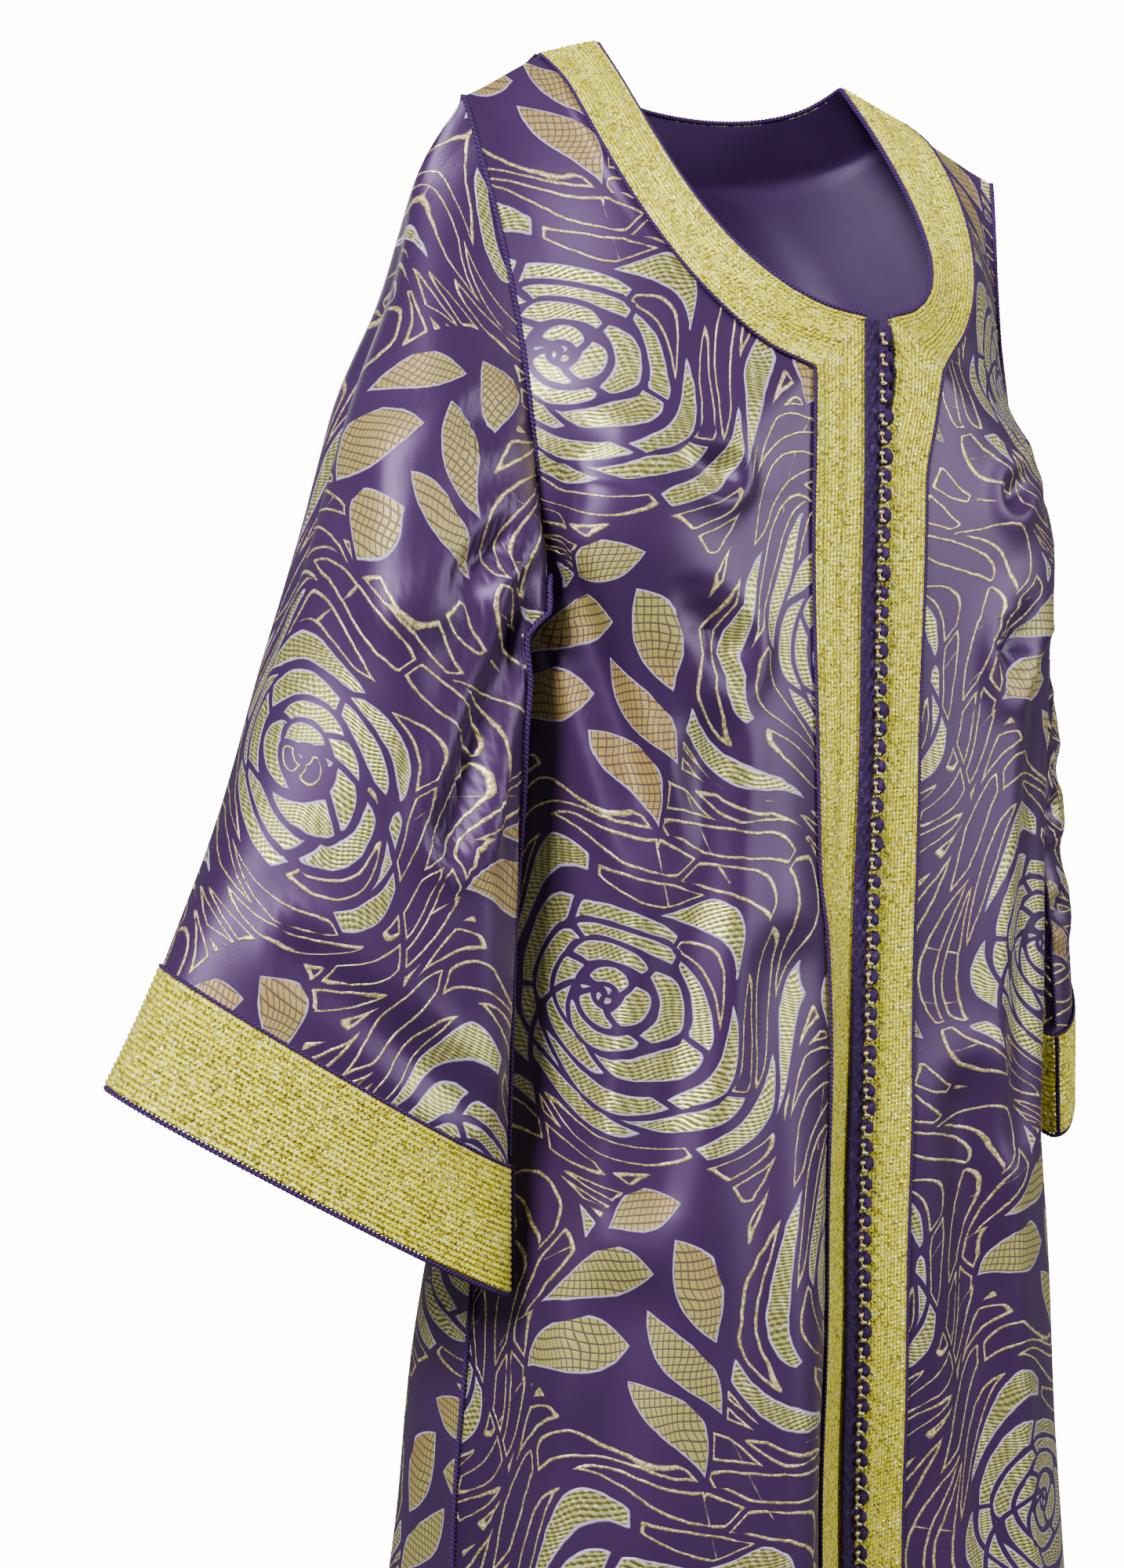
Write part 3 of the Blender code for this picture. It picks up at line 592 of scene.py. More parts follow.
# A spray of leaflets: the oval kept clear for it, its tilt, its stem's bend and shift, the leaflets' pitch
# and slant, where the pairs start and how far one side runs ahead, a leaflet's half-length and how much
# shorter the outer ones are, where its middle lies, its bend, its width and its three shape factors
SPRAY_LENGTH, SPRAY_WIDTH, SPRAY_TILT = 0.078, 0.048, math.radians(14)
SPRAY_EDGE, SPRAY_ROOM, SPRAY_CORNER = 0.9, 0.002, 0.002
STEM_BEND, STEM_SHIFT = 1.5, 0.002
LEAF_PITCH, LEAF_SLANT = 0.038, 0.9
PAIRS_START, RUN_AHEAD = 0.65, 0.45
LEAF_HALF_LENGTH, LEAF_SHORTER, LEAF_MIDDLE = 0.031, 0.004, 1.12
LEAF_BEND, LEAF_SAG, LEAF_WIDTH = 0.18, 0.07, 0.35
LEAF_FULL, LEAF_POINTED, LEAF_NARROWED = 1.10, 0.22, 0.20
TIP_LIMIT, LAST_PAIR = 1.2, 1.5
SLOW_WAVES = {
    "across": ((1, 0, 0.4, 0.0080), (1, -1, 1.9, 0.0095), (2, 1, 3.1, 0.0040), (1, 3, 0.7, 0.0020)),
    "along": ((0, 1, 2.4, 0.0080), (1, 1, 0.3, 0.0085), (-1, 2, 4.0, 0.0040), (3, 1, 5.1, 0.0020)),
}


def slow_wave(terms, first, second):
    """Return the sum of a few waves over the net's two directions."""
    total = 0.0
    for m, n, start, size in terms:
        turn = first * (m * math.tau) + second * (n * math.tau) + start
        total = turn.math("SINE") * size + total
    return total


def net_place(first, second):
    """Return the place across and along from the nearest knot of the net, and which of two kinds it is."""
    knot_1, knot_2 = first.math("ROUND"), second.math("ROUND")
    kind = ((knot_1 + knot_2) * 0.5).math("FRACT") * 2.0
    first, second = first - knot_1, second - knot_2
    return (first + second) * (1.0 - kind * 2.0) * (REPEAT / 2), (first - second) * (REPEAT / 2), kind


def leaf_spray(first, second):
    """Return how far a point lies inside one of a spray's leaflets, and inside the oval kept clear."""
    x, y = net_place(first + 0.5, second + 0.5)[:2]
    along = y * math.cos(SPRAY_TILT) + x * math.sin(SPRAY_TILT)
    over = x * math.cos(SPRAY_TILT) - y * math.sin(SPRAY_TILT) + along * along * STEM_BEND - STEM_SHIFT
    oval = (along * along / SPRAY_LENGTH**2 + over * over / SPRAY_WIDTH**2).math("SQRT")
    place = (along + abs(over) * LEAF_SLANT) / LEAF_PITCH - PAIRS_START + (over > 0.0) * RUN_AHEAD
    pair = place.math("ROUND")
    lean = math.cos(math.atan(LEAF_SLANT))
    beside = (place - pair) * (LEAF_PITCH * lean)
    outward = abs(over) / lean - beside * LEAF_SLANT
    tip = outward / (LEAF_HALF_LENGTH - abs(pair) * LEAF_SHORTER) - LEAF_MIDDLE
    tip = tip.math("MINIMUM", TIP_LIMIT).math("MAXIMUM", -TIP_LIMIT)
    bend = abs(beside + (tip * tip * LEAF_BEND - LEAF_SAG) * LEAF_PITCH)
    lens = (1.0 - tip * tip) * (LEAF_FULL - tip * LEAF_POINTED - tip * tip * LEAF_NARROWED)
    leaf = lens * (LEAF_PITCH * LEAF_WIDTH) - bend - (abs(pair) > LAST_PAIR) * LEAF_PITCH
    return leaf, (1.0 - oval) * (SPRAY_WIDTH * SPRAY_EDGE)


def woven_figures(finish, across, along):
    """Return how far a point lies inside its cell and inside a leaflet, and whether the cell is a petal.

    A rose's petals are cells laid out round it, in rings that grow outwards, and the cells further out are
    outlines. The distance to a cell's edge is put back into metres by how fast the two counts, round and
    outwards, change there.
    """
    first, second = (across + along) / REPEAT, (across - along) / REPEAT
    over = slow_wave(SLOW_WAVES["across"], first, second)
    up = slow_wave(SLOW_WAVES["along"], first, second)
    first, second = first + (over + up) / REPEAT, second + (over - up) / REPEAT
    x, y, kind = net_place(first, second)
    rose_y = y / ROSE_SQUASH + ROSE_DROP
    reach = (x * x + rose_y * rose_y).math("SQRT")
    turn = rose_y.math("ARCTAN2", x) + (reach + ROSE_EYE).math("LOGARITHM", math.e) * ROSE_TURN
    turn = turn.math("WRAP", math.pi, -math.pi)
    petals_round = reach * MORE_OUTSIDE + PETALS_ROUND
    ring_room = reach * RING_GROWS + RING_ROOM
    count_round = turn * petals_round + kind * KINDS_APART + CELLS_FROM[0]
    count_out = reach / ring_room + CELLS_FROM[1]
    place = finish.add("ShaderNodeCombineXYZ", {}, {0: count_round, 1: count_out}).outputs[0]
    cells = [finish.add("ShaderNodeTexVoronoi", {"voronoi_dimensions": "2D", "feature": feature},
                        {"Vector": place, "Scale": 1.0, "Randomness": CELL_JITTER}) for feature in ("F1", "F2")]
    own, next_one = (cell.outputs["Position"] for cell in cells)
    away = finish.vector("SUBTRACT", own, next_one)
    from_middle = finish.vector("MULTIPLY_ADD", finish.vector("ADD", own, next_one), (-0.5, -0.5, 0.0), place)
    inward = finish.number("ShaderNodeVectorMath", {"operation": "DOT_PRODUCT"}, {0: from_middle, 1: away},
                           "Value")
    way_round, way_out = finish.parts(away)
    shear = petals_round * ROSE_TURN / (reach + ROSE_EYE) + turn * MORE_OUTSIDE
    way_out = way_out * RING_ROOM / (ring_room * ring_room) + way_round * shear
    way_round = way_round * petals_round / reach
    cell = inward / (way_round * way_round + way_out * way_out).math("SQRT")
    ring = finish.parts(own)[1]
    chance, other = finish.parts(cells[0].outputs["Color"], "Color")
    off_round, off_out = finish.parts(finish.vector("SUBTRACT", place, own))
    moved_in, moved_out = (other > STRAY_OVER) * FAR_RING, (other < LEFT_OUT_UNDER) * FAR_RING
    petal = (ring + chance * RING_JITTER - moved_in + moved_out) < ROSE_REACH
    off_out = off_out + off_round * off_round * (PETAL_BOW - chance)
    wide = petal * (PETAL_HALF_WIDTH - OUTLINE_HALF_WIDTH) + OUTLINE_HALF_WIDTH
    long = petal * (PETAL_HALF_LENGTH - OUTLINE_HALF_LENGTH) + OUTLINE_HALF_LENGTH
    pointed = wide * (1.0 - off_round * off_round / (long * long)) - abs(off_out)
    cell = cell.math("SMOOTH_MIN", pointed * ring_room * POINTED, CELL_CORNER)
    seam = (math.pi - abs(turn)) * reach * SEAM_ROOM
    border = (REPEAT / 2 - abs(x) - abs(y)) * math.sqrt(0.5)
    leaf, in_spray = leaf_spray(first, second)
    cell = cell.math("MINIMUM", seam).math("MINIMUM", border)
    cell = cell.math("SMOOTH_MIN", SPRAY_ROOM - in_spray, SPRAY_CORNER).math("MINIMUM", leaf * -1.0)
    return cell, leaf, petal


# The brocade's threads: how far the figures' edges wander, the widths of their rims, where in a cell its
# outline lies and half its width, and the pitches of the ribs, of the net on the leaves and of the twill
EDGE_WANDER, LEAF_WANDER = 0.0014, 0.0012
PETAL_RIM, LEAF_RIM = 0.0008, 0.0007
OUTLINE_IN, OUTLINE_HALF = 0.0027, 0.00052
THREAD_DRIFT = 0.020
RIB_PITCH, SPLIT_PITCH, NET_PITCH, NET_LENGTH, TWILL_PITCH = 0.0022, 0.0046, 0.0030, 0.0046, 0.0011
WEAVE_RELIEF = 0.00040

# The brocade's colours, most of them a darker and a lighter one; the dull champagne is painted shade on the
# petals and the glint a painted highlight
GROUND = ((0.023, 0.0086, 0.040, 1.0), (0.047, 0.019, 0.074, 1.0))
CHAMPAGNE = ((0.160, 0.150, 0.032, 1.0), (0.820, 0.790, 0.290, 1.0))
CHAMPAGNE_PAINTED_SHADE, GLINT = (0.240, 0.220, 0.060, 1.0), (1.00, 0.99, 0.74, 1.0)
LEAF_GAP, LEAF_THREAD = (0.110, 0.070, 0.050, 1.0), ((0.400, 0.375, 0.105, 1.0), (0.400, 0.280, 0.080, 1.0))
OUTLINE_THREAD = ((0.420, 0.330, 0.090, 1.0), (0.950, 0.850, 0.400, 1.0))
SILVER_RIM = (0.470, 0.420, 0.700, 1.0)
LINING = ((0.040, 0.012, 0.080, 1.0), (0.055, 0.018, 0.105, 1.0))
VIOLET_SHEEN = (0.5, 0.3, 0.8, 1.0)


def brocade_finish(name):
    """Return the brocade's face: satin with metallic figures woven in."""
    finish = Finish(name, Specular_IOR_Level=0.46, Specular_Tint=(0.78, 0.54, 1.0, 1.0))
    uv, across, along = finish.cut()
    wobble = finish.grain(uv, 90.0, 1.0)
    cell, leaf, petal = woven_figures(finish, across, along)
    cell = cell + (wobble - 0.5) * EDGE_WANDER
    leaf = leaf + (wobble - 0.5) * LEAF_WANDER
    petals = finish.above(cell, GAP) * petal
    petal_rim = petals - finish.above(cell, GAP + PETAL_RIM) * petal
    outline = finish.above(OUTLINE_HALF - abs(cell - OUTLINE_IN), 0.0) * (1.0 - petal)
    leaves = finish.above(leaf, GAP)
    rim = petal_rim + (leaves - finish.above(leaf, GAP + LEAF_RIM))
    # Threads: fine ribs over the petals, a curved net over the leaves, a diagonal on the ground
    drift = finish.grain(uv, 22.0, 1.0) * THREAD_DRIFT
    rib = (along + drift).wave(RIB_PITCH)
    split = (across + along * 0.35 - drift).wave(SPLIT_PITCH)
    net_long = (across + drift).wave(NET_PITCH)
    net_over = (along - drift * 0.6).wave(NET_LENGTH)
    spark = finish.threads(uv, 950.0)[0]
    ribbed = finish.above(rib + split * 0.5, 0.05, 0.9)
    netted = finish.above(net_long.math("MINIMUM", net_over), -0.80, 0.18)
    patch = finish.grain(uv, 9.0, 3.0)
    broad = finish.grain(uv, 5.0, 1.0)
    ground = finish.mix(patch, *GROUND)
    champagne = finish.mix(ribbed, *CHAMPAGNE)
    # Painted shade: broad patches of the petals darkened towards the dull champagne
    champagne = finish.mix(finish.above(broad, 0.34, 0.34) * 0.6 + 0.4, CHAMPAGNE_PAINTED_SHADE, champagne)
    # Painted highlights: scattered near-white glints on the petals' ribs
    champagne = finish.mix(finish.above(spark, 0.86, 0.04) * ribbed, champagne, GLINT)
    beige = finish.mix(netted, LEAF_GAP, finish.mix(finish.above(broad, 0.50, 0.06), *LEAF_THREAD))
    thread = finish.mix(finish.above(spark, 0.45, 0.1), *OUTLINE_THREAD)
    color = finish.mix(petals, ground, champagne)
    color = finish.mix(leaves, color, beige)
    color = finish.mix(rim, color, SILVER_RIM)
    color = finish.mix(outline, color, thread)
    metal = (petals * 0.60 + leaves * 0.25 + outline * 0.55) * (1.0 - rim)
    rough = 0.36 + (patch - 0.5) * 0.12 + (spark - 0.62) * petals * 0.30 + leaves * 0.10
    twill = (across + along).wave(TWILL_PITCH)
    height = petals * (ribbed * 0.4 + 0.5 + spark * 0.35) + leaves * (netted * 0.4 + 0.4)
    height = height + outline * (0.6 + spark * 0.4) + twill * 0.05
    finish.shade(Base_Color=color, Metallic=metal, Roughness=rough)
    finish.raised(height, WEAVE_RELIEF)
    return finish.material


def lining_finish(name):
    """Return the plain satin on the inside of the brocade."""
    finish = Finish(name, Roughness=0.5, Sheen_Weight=0.05, Sheen_Tint=VIOLET_SHEEN)
    uv, across, along = finish.cut()
    cloudy = finish.grain(uv, 30.0, 2.0)
    twill = (across - along).wave(0.0014)
    finish.shade(Base_Color=finish.mix(cloudy, *LINING))
    finish.raised(twill, 0.00008)
    return finish.material


brocade = brocade_finish("purple brocade")
lining = lining_finish("purple lining")

coarse_fronts = {side: front_points(side) for side in (RIGHT, LEFT)}
fronts = {side: finer_columns(finer_rows(coarse_fronts[side])) for side in coarse_fronts}

# Back. One panel of the same brocade, folded over the shoulders to the neck, with its side seams sewn
# to the fronts and its upper sides to the sleeves. Its grain runs down the middle.

# Centre back from below the neck band down to the underarm: height and depth
CENTRE_BACK = {
    "height": (-0.055, -0.100, -0.150, -0.210, -0.272),
    "depth": (0.086, 0.108, 0.124, 0.133, 0.134),
}


def back_points(side):
    """Return one half of the back: the grid under the neck band, and the grid below it."""
    inner = evenly(neck_curve(BACK, "inner", side), NECK_ROWS)
    outer = evenly(neck_curve(BACK, "outer", side), NECK_ROWS)
    under_band = np.stack([inner + (outer - inner) * k / BAND_COLUMNS for k in range(BAND_COLUMNS + 1)],
                          axis=1)
    stops = outer_edge(BACK, side)
    heights = heights_down(outer[-1][2], UNDERARM_HEIGHT)
    rows = []
    for row in range(PANEL_ROWS + 1):
        if row < NECK_ROWS:
            start = outer[row]
        else:
            z = heights[row - NECK_ROWS]
            if z > UNDERARM_HEIGHT:
                depth = float(smooth_through(CENTRE_BACK["height"], CENTRE_BACK["depth"], z))
            else:
                depth = body_size("back", z)
            start = np.array((0.0, depth, z))
        rows.append([fluted(point) for point in cloth_row(start, stops[row], row, BACK, side)])
    return under_band, np.array(rows)


def fine_back(side):
    """Return one half of the back more finely, in line with the other half across the middle."""
    under_band, below = coarse_backs[side]
    mirrored = np.concatenate((under_band[:NECK_ROWS, 1], coarse_backs[-side][1][NECK_ROWS:, 1]))
    stops = fine_stops(PANEL_ROWS + 1, ROW_STEPS)
    rows = np.concatenate([along_curve(below[:, :1], stops, NECK_ROWS), along_curve(below[:, 1:-1], stops),
                           along_curve(below[:, -1:], stops, ARMHOLE_ROWS)], axis=1)
    fine_below = finer_columns(rows, before=along_curve(mirrored, stops, NECK_ROWS))
    fine_under = finer_columns(along_curve(under_band, fine_stops(NECK_ROWS + 1, ROW_STEPS)))
    fine_under[:, -1] = fine_below[:mitre + 1, 0]
    return fine_under, fine_below


mitre = NECK_ROWS * ROW_STEPS
coarse_backs = {side: back_points(side) for side in (RIGHT, LEFT)}
backs = {side: fine_back(side) for side in coarse_backs}

# Sleeves. Each is one wide tube of the brocade, sewn into the armhole and closed by a seam underneath,
# hanging from the shoulder and turned up inside the gold cuff band.
SLEEVE_RINGS = 12
CUFF_RINGS = 2
CUFF_START = 0.868
CAP_BLEND = 0.30
RING_STEPS = 5
ROUND_STEPS = 3

# Sleeves from the armhole to the cuff edge: the fold along the top, the seam underneath, how far the
# front and the back stand out from the line between them, and which way in degrees outward from
# straight forward and from straight back
SLEEVE = {
    RIGHT: {
        "along": (0.00, 0.05, 0.14, 0.34, 0.58, 0.88, 1.00),
        "top": ((0.205, -0.003, -0.046), (0.220, 0.006, -0.066), (0.233, 0.012, -0.121),
                (0.268, 0.018, -0.232), (0.316, 0.020, -0.358), (0.383, 0.020, -0.515),
                (0.412, 0.020, -0.567)),
        "under": ((0.187, -0.048, -0.272), (0.196, -0.058, -0.290), (0.207, -0.069, -0.325),
                  (0.214, -0.063, -0.405), (0.214, -0.057, -0.505), (0.210, -0.049, -0.630),
                  (0.207, -0.044, -0.694)),
        "front": (0.020, 0.034, 0.046, 0.052, 0.050, 0.046, 0.044),
        "front_way": (60, 60, 58, 52, 37, 22, 18),
        "back": (0.060, 0.063, 0.066, 0.066, 0.060, 0.052, 0.050),
        "back_way": (5, 5, 10, 8, -4, -15, -18),
    },
    LEFT: {
        "along": (0.00, 0.05, 0.14, 0.34, 0.58, 0.88, 1.00),
        "top": ((0.212, -0.003, -0.046), (0.228, 0.010, -0.066), (0.240, 0.030, -0.120),
                (0.262, 0.066, -0.222), (0.280, 0.100, -0.345), (0.296, 0.124, -0.486),
                (0.301, 0.131, -0.537)),
        "under": ((0.190, -0.048, -0.272), (0.197, -0.044, -0.290), (0.208, -0.036, -0.322),
                  (0.222, -0.034, -0.400), (0.233, -0.036, -0.495), (0.243, -0.040, -0.608),
                  (0.245, -0.041, -0.668)),
        "front": (0.018, 0.020, 0.022, 0.027, 0.034, 0.036, 0.036),
        "front_way": (70, 70, 70, 70, 70, 70, 70),
        "back": (0.046, 0.036, 0.028, 0.024, 0.024, 0.026, 0.026),
        "back_way": (0, 4, -8, -45, -62, -70, -70),
    },
}

# Main folds of the sleeves: how far round from the top over the front in degrees and how far down the
# middle lies, how wide it is each way, and how far it stands out (or in)
SLEEVE_FOLDS = {
    RIGHT: (
        {"around": 138, "along": 0.24, "spread": 48, "length": 0.22, "out": -0.014},
        {"around": 84, "along": 0.34, "spread": 40, "length": 0.30, "out": 0.006},
        {"around": 236, "along": 0.26, "spread": 44, "length": 0.20, "out": -0.010},
        {"around": 285, "along": 0.60, "spread": 46, "length": 0.40, "out": -0.008},
    ),
    LEFT: (
        {"around": 92, "along": 0.36, "spread": 60, "length": 0.07, "out": -0.010},
        {"around": 96, "along": 0.49, "spread": 60, "length": 0.08, "out": 0.005},
        {"around": 236, "along": 0.26, "spread": 44, "length": 0.20, "out": -0.008},
        {"around": 30, "along": 0.70, "spread": 40, "length": 0.28, "out": -0.006},
    ),
}


def sleeve_points(side):
    """Return a sleeve's rings, from the armhole to the cuff's edge, each starting at the top."""
    size = SLEEVE[side]
    half = ARMHOLE_ROWS
    front = evenly(armhole_curve(FRONT, side), half)
    back = evenly(armhole_curve(BACK, side), half)
    armhole = np.vstack((front, back[::-1][1:]))
    mirror = np.array((side, 1.0, 1.0))
    angles = np.linspace(0.0, 2.0 * math.pi, 2 * half + 1)
    stops = np.concatenate((np.linspace(0.0, CUFF_START, SLEEVE_RINGS - CUFF_RINGS + 1),
                            np.linspace(CUFF_START, 1.0, CUFF_RINGS + 1)[1:]))

    def ring(at):
        top, under = (smooth_through(size["along"], size[line], at) * mirror for line in ("top", "under"))
        middle, across = (top + under) / 2, (top - under) / 2
        depth_ways = []
        for face, name in ((FRONT, "front"), (BACK, "back")):
            way = math.radians(float(smooth_through(size["along"], size[f"{name}_way"], at)))
            out = float(smooth_through(size["along"], size[name], at))
            depth_ways.append(np.array((side * math.sin(way), face * math.cos(way), 0.0)) * out)
        points = []
        for angle in angles:
            depth_way = depth_ways[0] if math.sin(angle) > 0 else depth_ways[1]
            out = across * math.cos(angle) + depth_way * abs(math.sin(angle))
            fold_out = 0.0
            for fold in SLEEVE_FOLDS[side]:
                apart = degrees_apart(math.degrees(angle), fold["around"])
                fold_out += fold["out"] * bump(apart, fold["spread"]) * bump(at - fold["along"], fold["length"])
            points.append(middle + out + unit(out) * fold_out)
        return np.array(points)

    first = ring(0.0)
    return np.array([ring(at) + (armhole - first) * (1.0 - eased(at / CAP_BLEND)) for at in stops])


def fine_sleeve(side):
    """Return a sleeve's rings more finely, its first one on the panels' armhole edge."""
    rings = along_curve(coarse_sleeves[side], fine_stops(SLEEVE_RINGS + 1, RING_STEPS))
    closed = np.concatenate((rings[:, -2:-1], rings, rings[:, 1:2]), axis=1)
    rings = across_curve(closed, fine_stops(2 * ARMHOLE_ROWS + 1, ROUND_STEPS) + 1)
    edge = slice(0, ARMHOLE_ROWS * ROW_STEPS + 1, ROW_STEPS // ROUND_STEPS)
    rings[0] = np.concatenate((fronts[side][edge, -1], backs[side][1][edge, -1][::-1][1:]))
    return rings


coarse_sleeves = {side: sleeve_points(side) for side in (RIGHT, LEFT)}
sleeves = {side: fine_sleeve(side) for side in (RIGHT, LEFT)}

# Directions out of the cloth, shared at the seams so that the panels' walls meet
BODY_CORE = np.array((0.0, BODY_AXIS_DEPTH, -0.8))
SHARPEST_SEAM = 0.45
front_ways = {side: grid_normals(fronts[side], BODY_CORE) for side in fronts}
back_ways = {side: (grid_normals(under, np.array((0.0, 0.0, -0.3))), grid_normals(below, BODY_CORE))
             for side, (under, below) in backs.items()}
sleeve_ways = {side: grid_normals(rings, rings[8 * RING_STEPS].mean(axis=0)) for side, rings in sleeves.items()}
body_grids = [(fronts[side], front_ways[side]) for side in fronts]
body_grids += [(backs[side][k], back_ways[side][k]) for side in backs for k in (0, 1)]
sleeve_grids = [(sleeves[side], sleeve_ways[side]) for side in sleeves]
share_normals(body_grids)
share_normals(sleeve_grids)
share_normals(body_grids + sleeve_grids, SHARPEST_SEAM)

# Soft ripples and creases that the cloth takes when it is worn: each crease's two ends, its half-width
# and how deep it lies. They shift the cloth along its directions, the same on both sides of a seam.
CREASES = (
    ((-0.182, -0.052, -0.258), (-0.105, -0.112, -0.345), 0.013, 0.0075),
    ((-0.190, -0.040, -0.230), (-0.110, -0.105, -0.250), 0.011, 0.0055),
    ((-0.184, -0.052, -0.285), (-0.150, -0.100, -0.450), 0.014, 0.0065),
    ((-0.120, -0.112, -0.400), (-0.150, -0.100, -0.640), 0.018, 0.0045),
    ((-0.075, -0.120, -0.520), (-0.110, -0.115, -0.880), 0.022, 0.0045),
    ((-0.160, -0.090, -0.700), (-0.185, -0.085, -1.100), 0.022, 0.0060),
    ((0.186, -0.052, -0.262), (0.118, -0.110, -0.350), 0.013, 0.0070),
    ((0.188, -0.046, -0.225), (0.120, -0.102, -0.255), 0.011, 0.0050),
    ((0.150, -0.090, -0.360), (0.130, -0.095, -0.640), 0.018, 0.0045),
    ((0.090, -0.110, -0.620), (0.120, -0.110, -1.050), 0.022, 0.0050),
    ((-0.205, -0.080, -0.295), (-0.262, -0.070, -0.440), 0.012, 0.0075),
    ((-0.205, -0.080, -0.270), (-0.275, -0.045, -0.330), 0.010, 0.0065),
    ((-0.210, -0.060, -0.215), (-0.262, -0.030, -0.245), 0.011, 0.0050),
    ((-0.212, -0.075, -0.340), (-0.232, -0.090, -0.560), 0.013, 0.0060),
    ((-0.255, -0.080, -0.580), (-0.335, -0.045, -0.500), 0.013, 0.0040),
    ((0.236, -0.038, -0.330), (0.270, 0.055, -0.375), 0.011, 0.0070),
    ((0.242, -0.034, -0.390), (0.286, 0.080, -0.430), 0.012, 0.0080),
    ((0.244, -0.034, -0.455), (0.290, 0.095, -0.455), 0.010, 0.0060),
    ((0.226, -0.040, -0.290), (0.256, 0.020, -0.290), 0.010, 0.0050),
    ((0.248, -0.035, -0.520), (0.294, 0.090, -0.500), 0.011, 0.0045),
    ((-0.190, 0.020, -0.250), (-0.100, 0.118, -0.350), 0.015, 0.0060),
    ((0.190, 0.020, -0.250), (0.100, 0.118, -0.350), 0.015, 0.0060),
    ((-0.060, 0.120, -0.480), (-0.090, 0.140, -0.900), 0.022, 0.0050),
    ((0.070, 0.120, -0.520), (0.080, 0.140, -0.950), 0.022, 0.0050),
)


# How far the hem's ripples, the skirt's wandering ones and the small unevenness stand out, where the ripples
# start and over what height they grow, and how deep, how far off and how wide a crease's two ridges are
HEM_RIPPLE, SKIRT_RIPPLE, UNEVEN = 0.0058, 0.0030, 0.0010
RIPPLES_FROM, RIPPLES_OVER = 0.25, 1.15
CREASE_DEPTH, RIDGE, RIDGE_AWAY, RIDGE_SPREAD = 1.5, 0.6, 1.4, 0.5


def rippled(points):
    """Return how far out soft ripples and creases move each point."""
    x, y, z = points[..., 0], points[..., 1], points[..., 2]
    drop = np.clip((-z - RIPPLES_FROM) / RIPPLES_OVER, 0.0, 1.0)
    around = np.arctan2(x, -(y - BODY_AXIS_DEPTH))
    out = HEM_RIPPLE * drop * np.sin(around * 10 + 1.6 * np.sin(z * 3.2) + 0.8)
    out += SKIRT_RIPPLE * drop**0.6 * np.sin(around * 7 - 3.5 * z + 1.1 * np.sin(z * 9.0))
    out += UNEVEN * np.sin(x * 31 + z * 23) * np.sin(y * 37 - z * 14 + 1.0)
    for start, end, width, depth in CREASES:
        start, end = np.array(start), np.array(end)
        along = np.clip(((points - start) @ (end - start)) / ((end - start) @ (end - start)), 0.0, 1.0)
        away = np.linalg.norm(points - start - along[..., None] * (end - start), axis=-1) / width
        ridge = RIDGE * np.exp(-(away - RIDGE_AWAY)**2 / RIDGE_SPREAD)
        out += CREASE_DEPTH * depth * (ridge - np.exp(-away**2))
    return out


def move(points, ways, fade):
    """Move a grid's points along their directions by the ripples."""
    points += ways * (rippled(points) * fade)[..., None]


# Over how many fine columns of the panels and rings of the sleeves the ripples die out at the armhole
FADE_COLUMNS, FADE_RINGS = 12.0, 8.0
last_band = BAND_COLUMNS * COLUMN_STEPS
for side in (RIGHT, LEFT):
    rows, columns = fronts[side].shape[:2]
    to_armhole = np.clip(np.arange(columns)[::-1] / FADE_COLUMNS, 0.0, 1.0)
    below_armhole = np.arange(rows) > ARMHOLE_ROWS * ROW_STEPS
    fade = np.maximum(to_armhole[None, :], below_armhole[:, None])
    move(fronts[side], front_ways[side], fade)
    move(backs[side][0], back_ways[side][0], 1.0)
    move(backs[side][1], back_ways[side][1], fade[:, last_band:])
    to_armhole = np.clip(np.arange(len(sleeves[side])) / FADE_RINGS, 0.0, 1.0)
    move(sleeves[side], sleeve_ways[side], to_armhole[:, None])


def cut_places(coarse, start, held, steps):
    """Return the fine grid's flat places, from the coarse grid laid flat with one of its lines held."""
    flat = laid_flat(coarse, start, held)
    rows = along_curve(flat, fine_stops(len(flat), steps[0]))
    return across_curve(rows, fine_stops(flat.shape[1], steps[1]))


def straight_down(points):
    """Return how far down the cloth each point of a column lies, as heights under the first one's."""
    return points[0, 2] - run_along(points)


def flat_size(*flats):
    """Return the width and the length of the cut that holds the flat places, and its area."""
    places = np.concatenate([flat.reshape(-1, 2) for flat in flats])
    area = 0.0
    for flat in flats:
        over, down = flat[1:, 1:] - flat[:-1, :-1], flat[1:, :-1] - flat[:-1, 1:]
        area += float(np.abs(over[..., 0] * down[..., 1] - over[..., 1] * down[..., 0]).sum() / 2)
    return tuple(float(size) for size in np.ptp(places, axis=0)), area


PANEL_STEPS = (ROW_STEPS, COLUMN_STEPS)
EDGE_IN_CUT = 0.002
pieces, cuts = {}, {}
for side in (RIGHT, LEFT):
    name = f"front_{SIDE_NAME[side]}"
    coarse = coarse_fronts[side]
    start = first_flat(coarse, side)
    start[NECK_ROWS:, 0, 0] = side * EDGE_IN_CUT
    start[NECK_ROWS:, 0, 1] = straight_down(coarse[NECK_ROWS:, 0])
    flat = cut_places(coarse, start, (slice(NECK_ROWS, None), 0), PANEL_STEPS)
    cuts[name] = flat_size(flat)
    pieces[name] = cloth_wall(f"{name}_cloth", [(fronts[side], front_ways[side], flat)])
    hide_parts(name)

